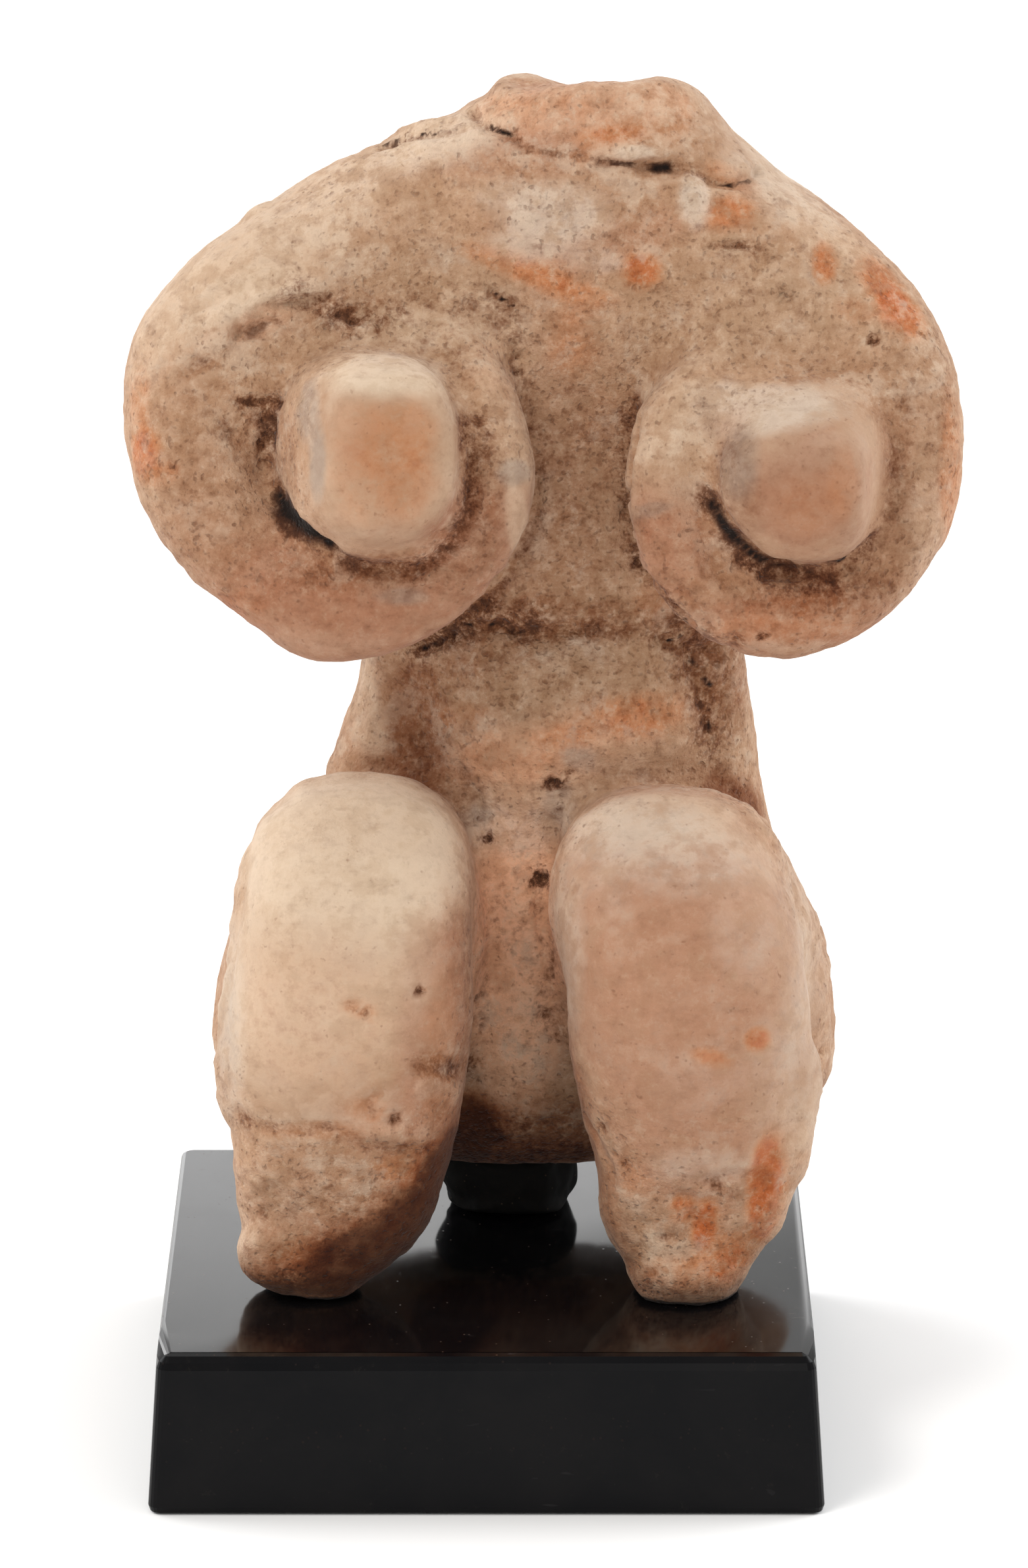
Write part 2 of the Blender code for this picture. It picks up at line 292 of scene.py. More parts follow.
class Clay:
    # a closed mesh held as arrays, so it can be pressed, cut and painted like clay
    def __init__(self, mesh):
        count = len(mesh.vertices)
        self.points = np.empty(count * 3)
        mesh.vertices.foreach_get("co", self.points)
        self.points = self.points.reshape(-1, 3)
        self.edges = np.empty(len(mesh.edges) * 2, dtype=np.int64)
        mesh.edges.foreach_get("vertices", self.edges)
        self.edges = self.edges.reshape(-1, 2)
        corners = np.empty(len(mesh.loops), dtype=np.int64)
        mesh.loops.foreach_get("vertex_index", corners)
        self.quads = corners.reshape(-1, 4)        # a voxel skin is all quads
        self.share = 1.0 / np.maximum(np.bincount(self.edges.ravel(), minlength=count), 1)
        self.refresh()

    def around(self, values):
        # mean of each point's neighbours
        first, second = self.edges[:, 0], self.edges[:, 1]
        size = len(self.points)
        if values.ndim == 1:
            total = (np.bincount(first, values[second], size)
                     + np.bincount(second, values[first], size))
            return total * self.share
        return np.stack([self.around(values[:, axis]) for axis in range(3)], axis=1)

    def relax(self, passes, give=0.5, back=0.53):
        # smooths without shrinking: each pass in is followed by one out
        for _ in range(passes):
            self.points += give * (self.around(self.points) - self.points)
            self.points -= back * (self.around(self.points) - self.points)

    def rub(self, weight, passes, give):
        # wears the clay round where weight is 1
        for _ in range(passes):
            self.points += weight[:, None] * give * (self.around(self.points) - self.points)

    def spread(self, values, passes):
        for _ in range(passes):
            values = 0.5 * values + 0.5 * self.around(values)
        return values

    def refresh(self):
        corner = self.points[self.quads]
        facing = np.cross(corner[:, 2] - corner[:, 0], corner[:, 3] - corner[:, 1])
        normals = np.zeros_like(self.points)
        for axis in range(3):
            for place in range(4):
                normals[:, axis] += np.bincount(self.quads[:, place], facing[:, axis],
                                                len(self.points))
        length = np.linalg.norm(normals, axis=1, keepdims=True)
        self.normals = normals / np.maximum(length, 1e-12)
        self.tree = BVHTree.FromPolygons([tuple(p) for p in self.points],
                                         [tuple(q) for q in self.quads.tolist()])

    def seen(self, column, row):
        # where a pixel of the photograph meets the clay, or the nearest clay to its ray
        origin, ray = sightLine(column, row)
        hit = self.tree.ray_cast(origin, ray)
        if hit[0] is None:
            hit = self.tree.find_nearest(origin + ray * lookout["reach"])
        return np.array(hit[0])

    def felt(self, x, z, side):
        # a place on the back, a flank or the top, in millimetres across and up
        out, over = 0.3, 0.4         # metres away, where the feeler starts
        aim = {"back": (Vector((x * mm, out, z * mm)), Vector((0, -1, 0))),
               "left": (Vector((-out, x * mm, z * mm)), Vector((1, 0, 0))),
               "right": (Vector((out, x * mm, z * mm)), Vector((-1, 0, 0))),
               "top": (Vector((x * mm, z * mm, over)), Vector((0, 0, -1)))}[side]
        hit = self.tree.ray_cast(*aim)
        return np.array(hit[0] if hit[0] is not None else aim[0] + aim[1] * out)

    def push(self, weight, depth):
        self.points += self.normals * (weight * depth)[:, None]

    def near(self, centre, radius):
        # 1 at the centre, 0 at radius from it
        away = np.linalg.norm(self.points - centre, axis=1) / radius
        return np.clip(1 - away ** 2, 0, 1)

    def oval(self, column, row, halfWidth, halfHeight, turn=0, deep=None):
        # 1 at that pixel, 0 outside an oval that lies square to the camera, sizes in pixels
        across, up = halfWidth * pixel, halfHeight * pixel
        away = self.points - self.seen(column, row)
        right, high, back = away @ sightRight, away @ sightUp, away @ sightBack
        swing = math.radians(turn)
        along = right * math.cos(swing) + high * math.sin(swing)
        over = high * math.cos(swing) - right * math.sin(swing)
        deep = deep or max(across, up)
        far = (along / across) ** 2 + (over / up) ** 2 + (back / deep) ** 2
        return np.clip(1.0 - far, 0.0, 1.0)

    def line(self, marks, width):
        # 1 on a line of pixels laid on the clay, 0 at width from it
        longestStride = 22      # pixels
        places = []
        for (c0, r0), (c1, r1) in zip(marks[:-1], marks[1:]):
            steps = max(1, int(math.hypot(c1 - c0, r1 - r0) / longestStride))
            places += [self.seen(c0 + (c1 - c0) * i / steps, r0 + (r1 - r0) * i / steps)
                       for i in range(steps)]
        places.append(self.seen(*marks[-1]))
        best = np.full(len(self.points), 1e9)
        for start, end in zip(places[:-1], places[1:]):
            run = end - start
            share = np.clip((self.points - start) @ run / max(run @ run, 1e-12), 0.0, 1.0)
            gap = np.linalg.norm(self.points - (start + share[:, None] * run), axis=1)
            best = np.minimum(best, gap)
        return np.clip(1.0 - (best / width) ** 2, 0.0, 1.0)


# column, row, half width and half height, then how far right and up it is drawn, in pixels
pulls = [
    (592, 690, 190, 220, 13, 6), (1010, 160, 110, 70, -8, 34), (1066, 158, 50, 50, -14, 10),
    (910, 150, 70, 50, 0, 18), (780, 130, 70, 40, 0, -22), (330, 1640, 70, 130, -7, 0),
    (362, 1840, 80, 120, -22, -2), (378, 1925, 70, 50, -18, -6), (1196, 1880, 60, 70, 16, 0),
    (1060, 1975, 110, 40, 0, -8), (620, 1850, 60, 80, 6, -4), (1000, 1940, 70, 60, -14, -8),
    (1100, 1960, 90, 50, 4, -10), (1222, 1770, 70, 80, 14, 0), (1206, 1850, 60, 60, 2, 0),
    (925, 1860, 60, 80, -15, 0), (384, 1915, 60, 60, -12, -10), (484, 985, 130, 60, -12, -10),
    (1010, 130, 60, 34, 0, 12), (685, 170, 44, 40, 9, -5), (1246, 1440, 44, 70, -3, 0),
    (404, 1930, 84, 64, -27, -17), (440, 1955, 70, 36, -8, -8), (392, 1890, 50, 60, -12, -4),
    (420, 1215, 50, 40, 9, 0), (328, 1580, 40, 70, -7, 0), (1440, 820, 50, 90, 6, 0),
    (1330, 955, 50, 30, 8, -5), (1342, 740, 50, 130, -17, 0), (1110, 800, 34, 50, -6, 0),
    (968, 1968, 26, 26, 8, 8), (1116, 1966, 30, 30, -8, 10),
]

# column, row, half width, half height in pixels, how far it swells towards the front in mm
swollenSoles = [
    (1050, 1955, 106, 58, 1.9), (470, 1955, 120, 50, 0.6),
]

# column, row, half width, half height, passes: places rubbed round
rubbedPlaces = [
    (590, 690, 150, 190, 10), (1238, 740, 180, 180, 16), (1112, 836, 60, 60, 30),
    (1338, 838, 60, 60, 30), (1100, 650, 60, 60, 24), (1342, 636, 60, 60, 24),
    (500, 800, 50, 50, 14), (676, 804, 50, 50, 14), (1225, 1480, 60, 260, 34),
    (1060, 1965, 100, 34, 16), (330, 1500, 40, 220, 16), (440, 1930, 120, 50, 14),
    (1050, 1945, 110, 40, 12),
]

# smooth and rubbed places, with less crumb: column, row, half width, half height, strength, turn
burnishedPlaces = [
    (520, 1290, 210, 170, 0.9), (490, 1520, 230, 240, 0.85), (1030, 1450, 230, 330, 0.85),
    (1080, 1680, 170, 120, 0.6), (580, 690, 130, 170, 1.0), (1240, 730, 150, 160, 0.95),
    (560, 950, 230, 60, 0.6), (790, 800, 30, 120, 0.7), (1010, 740, 60, 60, 0.35),
    (330, 400, 150, 120, 0.35, 30), (1130, 220, 110, 70, 0.4, -30), (1230, 1560, 60, 200, 0.8),
]

# column, row, half width and half height in pixels, height in mm, turn where it isn't level
swellsAndHollows = [
    (1118, 704, 40, 64, -0.45),          # flat flank of the right peg
    (1106, 838, 46, 46, -0.9),           # the right breast is a round peg
    (1344, 842, 46, 46, -0.9),
    (1096, 640, 40, 40, -0.6),
    (1350, 628, 40, 40, -0.6),
    (1240, 760, 90, 90, 0.30),
    (360, 470, 46, 20, 0.75, 25),        # rough lumps on the left shoulder
    (425, 446, 40, 14, 0.65, 10),
    (472, 430, 40, 13, 0.62),
    (395, 496, 44, 12, -0.80, 22),
    (455, 458, 48, 9, -0.75, 8),
    (330, 520, 34, 18, 0.45, 30),
    (300, 556, 34, 14, -0.45, 30),
    (545, 484, 34, 16, -0.42),           # weathered nest above the left breast
    (520, 515, 30, 14, -0.25),
    (665, 380, 40, 26, 0.22, -20),
    (850, 320, 90, 46, 0.28, -10),       # white-grey plate on the chest
    (955, 330, 30, 70, -0.22),
    (1052, 300, 26, 40, 0.38),
    (1120, 258, 36, 26, 0.50, -20),      # lump at the right end of the neck's seam
    (1108, 330, 40, 30, -0.25),
    (1180, 420, 60, 40, 0.25),
    (1250, 400, 26, 34, -0.26),
    (974, 412, 26, 24, -0.35),           # flake lost down to orange clay
    (1360, 455, 52, 34, -0.30, -40),
    (1090, 470, 90, 50, 0.20),
    (540, 250, 60, 20, 0.20, 20),
    (392, 322, 30, 18, 0.55, 30),
    (880, 700, 60, 90, -0.35),           # hollow between the discs
    (900, 590, 40, 70, -0.25),
    (760, 1000, 120, 34, 0.28),          # fold under the discs
    (1060, 1010, 44, 60, -0.22),
    (850, 1120, 110, 40, 0.24),
    (640, 1110, 44, 80, -0.40),
    (780, 1260, 56, 30, 0.22),
    (820, 1340, 60, 40, -0.25),
    (790, 1440, 56, 170, 0.90),
    (835, 1450, 36, 70, 0.20),
    (380, 1330, 60, 60, -0.12),          # flat places on the left leg
    (470, 1450, 90, 110, 0.12),
    (500, 1800, 170, 74, -0.42, 6),      # shin's skin is gone above the left foot
    (430, 1860, 90, 60, -0.28),
    (600, 1790, 50, 60, -0.25),
    (1110, 1800, 120, 60, -0.22, 10),
    (1075, 1850, 34, 44, -0.40, -35),
    (1040, 1820, 24, 14, -0.36),
    (1160, 1790, 20, 84, -0.26, -8),
    (1150, 1578, 18, 17, -0.26),
    (1080, 1605, 28, 12, -0.26, -15),
    (1232, 1640, 14, 60, 0.22),
    (995, 1900, 50, 40, 0.24),
    (330, 1880, 30, 60, 0.14),
    (1020, 700, 40, 60, 0.14),
    (1395, 800, 40, 110, 0.16),
    (300, 850, 60, 90, 0.16),
    (1215, 940, 90, 26, 0.20, 5),
]

# grooves and ridges: marks along the photograph, half width and height in mm
groovesAndRidges = [
    ([(583, 222), (604, 216)], 0.75, -0.75),                        # neck seam, left end
    ([(606, 214), (640, 205), (684, 202), (712, 190)], 0.55, -0.35),
    ([(600, 202), (650, 190), (700, 180)], 0.8, 0.30),
    ([(716, 168), (728, 182), (742, 192), (778, 204)], 0.60, -0.65),
    ([(778, 204), (800, 226), (880, 236), (915, 246)], 0.42, -0.30),
    ([(912, 246), (950, 249), (980, 252)], 0.50, -0.50),
    ([(978, 254), (1006, 254), (1026, 250)], 0.80, -0.80),          # dark hole in the seam
    ([(930, 236), (965, 228), (1000, 236)], 0.75, 0.35),
    ([(1026, 252), (1060, 262), (1085, 276)], 0.45, -0.25),
    ([(1082, 276), (1110, 281), (1140, 274), (1152, 256)], 0.50, -0.55),
    ([(1081, 376), (1110, 372), (1150, 376)], 0.38, -0.30),
    ([(747, 442), (762, 452), (782, 466)], 0.42, -0.50),
    ([(364, 612), (395, 608), (425, 610)], 0.40, -0.50),
    ([(370, 598), (420, 596)], 0.45, 0.20),
    ([(405, 630), (415, 655), (400, 676)], 0.60, -0.45),
    ([(330, 640), (352, 660), (360, 690)], 0.40, -0.22),
    ([(424, 752), (440, 785), (468, 812), (496, 832)], 1.05, -0.95),   # crevice, left breast
    ([(496, 834), (560, 866), (636, 868)], 0.75, -0.42),
    ([(636, 866), (690, 826), (716, 770), (722, 690)], 0.65, -0.40),
    ([(461, 800), (500, 826), (580, 846), (650, 836)], 0.50, 0.22),
    ([(726, 640), (716, 600), (690, 560)], 0.60, -0.22),
    ([(1082, 764), (1098, 790), (1120, 820), (1150, 848), (1184, 862)], 0.95, -0.95),
    ([(1180, 868), (1236, 872), (1286, 856), (1324, 824)], 0.75, -0.50),
    ([(1088, 776), (1086, 720), (1092, 672), (1084, 630)], 0.55, -0.30),
    ([(1340, 820), (1365, 740), (1356, 660)], 0.60, -0.22),
    ([(969, 640), (958, 700), (953, 770), (972, 852), (1008, 905), (1050, 948)], 0.55, -0.55),
    ([(993, 590), (1065, 562), (1134, 555)], 0.55, -0.18),
    ([(980, 600), (966, 650), (962, 720), (964, 790), (986, 860), (1020, 905)], 0.6, 0.20),
    ([(815, 700), (812, 790), (770, 880), (700, 945), (635, 982)], 0.55, -0.45),
    ([(801, 700), (798, 790), (752, 878), (690, 935), (625, 970)], 0.60, 0.20),
    ([(640, 984), (700, 965), (760, 950), (800, 962)], 0.60, -0.50),
    ([(800, 962), (880, 955), (960, 962)], 0.70, -0.28),
    ([(1000, 970), (1035, 985), (1090, 985), (1118, 972)], 0.60, -0.55),
    ([(1035, 900), (1062, 930), (1076, 955)], 0.50, -0.40),
    ([(1040, 1000), (1060, 1040), (1074, 1110)], 0.50, -0.32),
    ([(700, 1170), (724, 1205), (736, 1260)], 0.60, -0.30),
    ([(862, 1200), (848, 1240), (838, 1290)], 0.55, -0.30),
    ([(640, 1612), (670, 1622), (704, 1618)], 1.00, -0.28),         # chip inside the left shin
    ([(650, 1650), (690, 1660)], 1.20, 0.25),
    ([(362, 1688), (395, 1712), (440, 1716), (500, 1712), (560, 1740), (600, 1748),
      (650, 1742)], 0.70, -0.24),                                     # lip of the lost shin skin
    ([(360, 1672), (398, 1694), (444, 1700), (505, 1696), (566, 1724), (600, 1732)],
     0.90, 0.08),
    ([(1060, 1795), (1120, 1780), (1165, 1790)], 0.50, -0.22),
    ([(1186, 1240), (1226, 1330), (1246, 1450), (1248, 1560), (1228, 1690)], 2.6, 0.50),
    ([(350, 1330), (322, 1450), (318, 1560), (332, 1660)], 2.4, 0.60),   # thigh runs into hip
    ([(890, 1700), (912, 1740), (930, 1790)], 0.60, -0.30),
    ([(1086, 1180), (1120, 1210), (1190, 1240)], 0.7, -0.18),
    ([(1253, 1600), (1258, 1660), (1240, 1690)], 0.6, 0.25),
]

# single pits: column, row, radius mm, depth mm
pits = [
    (1196, 452, 0.42, 0.62), (1188, 444, 0.32, 0.35), (1326, 516, 0.46, 0.70),
    (1148, 438, 0.30, 0.25), (1108, 492, 0.30, 0.25), (1230, 560, 0.3, 0.3),
    (787, 538, 0.42, 0.42), (787, 566, 0.40, 0.55), (780, 520, 0.30, 0.30),
    (1048, 648, 0.34, 0.30), (1068, 640, 0.26, 0.2), (1395, 712, 0.34, 0.3), (512, 472, 0.5, 0.38),
    (534, 490, 0.55, 0.50), (560, 478, 0.5, 0.48), (574, 494, 0.4, 0.4), (548, 508, 0.45, 0.30),
    (500, 500, 0.4, 0.25), (590, 460, 0.35, 0.22), (380, 640, 0.4, 0.30), (352, 655, 0.4, 0.30),
    (344, 640, 0.3, 0.22), (392, 668, 0.35, 0.28), (420, 640, 0.5, 0.55), (410, 662, 0.45, 0.42),
    (262, 706, 0.35, 0.32), (224, 724, 0.3, 0.2), (553, 1314, 0.34, 0.32), (568, 1342, 0.36, 0.32),
    (584, 1343, 0.3, 0.25), (599, 1337, 0.32, 0.30), (627, 1360, 0.34, 0.32),
    (598, 1400, 0.28, 0.2), (637, 1505, 0.42, 0.70), (650, 1452, 0.34, 0.18),
    (535, 1524, 0.55, 0.42), (556, 1538, 0.45, 0.48), (478, 1503, 0.32, 0.25),
    (492, 1502, 0.28, 0.2), (525, 1470, 0.42, 0.18), (553, 1630, 0.34, 0.25),
    (450, 1560, 0.3, 0.14), (478, 1653, 0.38, 0.18), (601, 1700, 0.46, 0.80),
    (560, 1676, 0.60, 0.36), (566, 1690, 0.6, 0.34), (574, 1662, 0.45, 0.28),
    (666, 1690, 0.3, 0.22), (513, 1735, 0.42, 0.32), (528, 1744, 0.32, 0.25),
    (402, 1838, 0.42, 0.42), (426, 1906, 0.5, 0.36), (404, 1850, 0.4, 0.25),
    (470, 1870, 0.35, 0.2), (540, 1840, 0.35, 0.2), (500, 1806, 0.35, 0.2), (455, 1815, 0.35, 0.2),
    (838, 1190, 0.62, 0.85), (864, 1172, 0.50, 0.48), (852, 1210, 0.4, 0.30),
    (742, 1272, 0.60, 0.62), (727, 1243, 0.52, 0.36), (760, 1262, 0.36, 0.28),
    (850, 1228, 0.40, 0.38), (838, 1244, 0.34, 0.3), (823, 1334, 0.62, 0.80),
    (806, 1344, 0.46, 0.42), (814, 1380, 0.45, 0.40), (828, 1540, 0.62, 0.50),
    (822, 1512, 0.45, 0.35), (724, 1518, 0.42, 0.35), (722, 1548, 0.4, 0.32),
    (744, 1440, 0.4, 0.22), (780, 1420, 0.42, 0.25), (806, 1480, 0.4, 0.25),
    (760, 1500, 0.42, 0.22), (726, 1640, 0.42, 0.4), (872, 1351, 0.36, 0.35),
    (935, 1402, 0.45, 0.16), (948, 1406, 0.4, 0.14), (1062, 1338, 0.3, 0.2),
    (912, 1712, 0.46, 0.50), (950, 1765, 0.46, 0.48), (932, 1752, 0.36, 0.26),
    (1084, 1798, 0.46, 0.46), (1096, 1806, 0.36, 0.36), (1118, 1818, 0.34, 0.32),
    (1018, 1722, 0.4, 0.2), (1056, 1710, 0.32, 0.16), (1100, 1680, 0.3, 0.16),
    (1014, 1876, 0.46, 0.40), (1050, 1846, 0.36, 0.34), (972, 1890, 0.4, 0.28),
    (990, 1930, 0.4, 0.28), (1000, 1880, 0.32, 0.22), (840, 1095, 0.3, 0.2),
    (745, 1135, 0.42, 0.28), (798, 1160, 0.36, 0.25), (1000, 1135, 0.36, 0.22),
    (655, 960, 0.4, 0.35), (668, 976, 0.42, 0.4), (690, 968, 0.36, 0.3), (755, 945, 0.5, 0.42),
    (780, 958, 0.5, 0.45), (850, 955, 0.45, 0.3), (875, 962, 0.4, 0.28), (720, 950, 0.4, 0.3),
    (1045, 1000, 0.4, 0.35), (1062, 1020, 0.46, 0.42), (1075, 1050, 0.42, 0.36),
    (1052, 1036, 0.36, 0.3), (1092, 1000, 0.36, 0.3), (890, 700, 0.4, 0.25), (862, 720, 0.4, 0.25),
    (905, 742, 0.42, 0.3), (850, 760, 0.4, 0.25), (880, 650, 0.35, 0.2), (920, 680, 0.36, 0.25),
    (1090, 690, 0.34, 0.25), (1106, 716, 0.3, 0.2), (1200, 880, 0.4, 0.4), (1225, 894, 0.42, 0.42),
    (1262, 884, 0.4, 0.38), (1296, 862, 0.4, 0.3), (1234, 906, 0.36, 0.25), (1160, 880, 0.36, 0.3),
    (540, 872, 0.36, 0.22), (1160, 965, 0.34, 0.3),
]

# marks on the sides that the photograph doesn't show: side, across, up, radius mm, height mm
hiddenMarks = [
    ("back", 14, 88, 5.0, -0.35), ("back", -12, 82, 6.5, 0.30), ("back", 2, 70, 7.0, -0.30),
    ("back", 22, 72, 5.0, 0.25), ("back", -16, 66, 3.2, -0.40), ("back", 6, 55, 6.0, 0.25),
    ("back", -4, 42, 8.0, 0.30), ("back", 14, 38, 6.0, 0.25), ("back", 5, 30, 2.4, -0.45),
    ("back", -10, 28, 4.0, -0.25), ("back", 18, 25, 3.4, -0.35), ("back", 25, 84, 2.6, -0.35),
    ("left", 8, 80, 3.0, -0.3), ("left", 6, 60, 4.0, 0.25), ("left", 4, 30, 5.0, -0.25),
    ("left", -6, 36, 3.0, -0.18), ("right", 6, 82, 4.0, -0.3), ("right", 5, 58, 4.0, 0.25),
    ("right", 6, 34, 5.0, -0.3), ("right", -6, 40, 3.5, -0.2), ("top", 9, 9, 4.5, -0.45),
    ("top", 3, 8, 2.5, 0.35), ("top", 13, 12, 2.2, -0.40), ("top", -8, 10, 3.0, -0.2),
]
hiddenPits = [
    ("back", 9.0, 86.0, 0.55, 0.6), ("back", -8.0, 76.0, 0.45, 0.5),
    ("back", 17.0, 66.0, 0.6, 0.5), ("back", -3.0, 62.0, 0.4, 0.4), ("back", 1.0, 49.0, 0.5, 0.6),
    ("back", 12.0, 45.0, 0.4, 0.4), ("back", -9.0, 36.0, 0.5, 0.5), ("back", 20.0, 34.0, 0.4, 0.4),
    ("back", 8.0, 24.0, 0.5, 0.5), ("back", -2.0, 22.0, 0.4, 0.4), ("back", -18.0, 84.0, 0.4, 0.4),
    ("back", 27.0, 76.0, 0.5, 0.4), ("left", 2.0, 72.0, 0.5, 0.5), ("left", 8.0, 46.0, 0.4, 0.4),
    ("left", 3.0, 24.0, 0.5, 0.5), ("left", -8.0, 44.0, 0.4, 0.3), ("right", 3.0, 76.0, 0.5, 0.5),
    ("right", 8.0, 50.0, 0.4, 0.4), ("right", 2.0, 28.0, 0.5, 0.5),
    ("right", -9.0, 30.0, 0.4, 0.4), ("top", 6.0, 6.0, 0.5, 0.5), ("top", 11.0, 8.0, 0.6, 0.7),
    ("top", 8.0, 13.0, 0.5, 0.5), ("top", 2.0, 11.0, 0.4, 0.4),
]

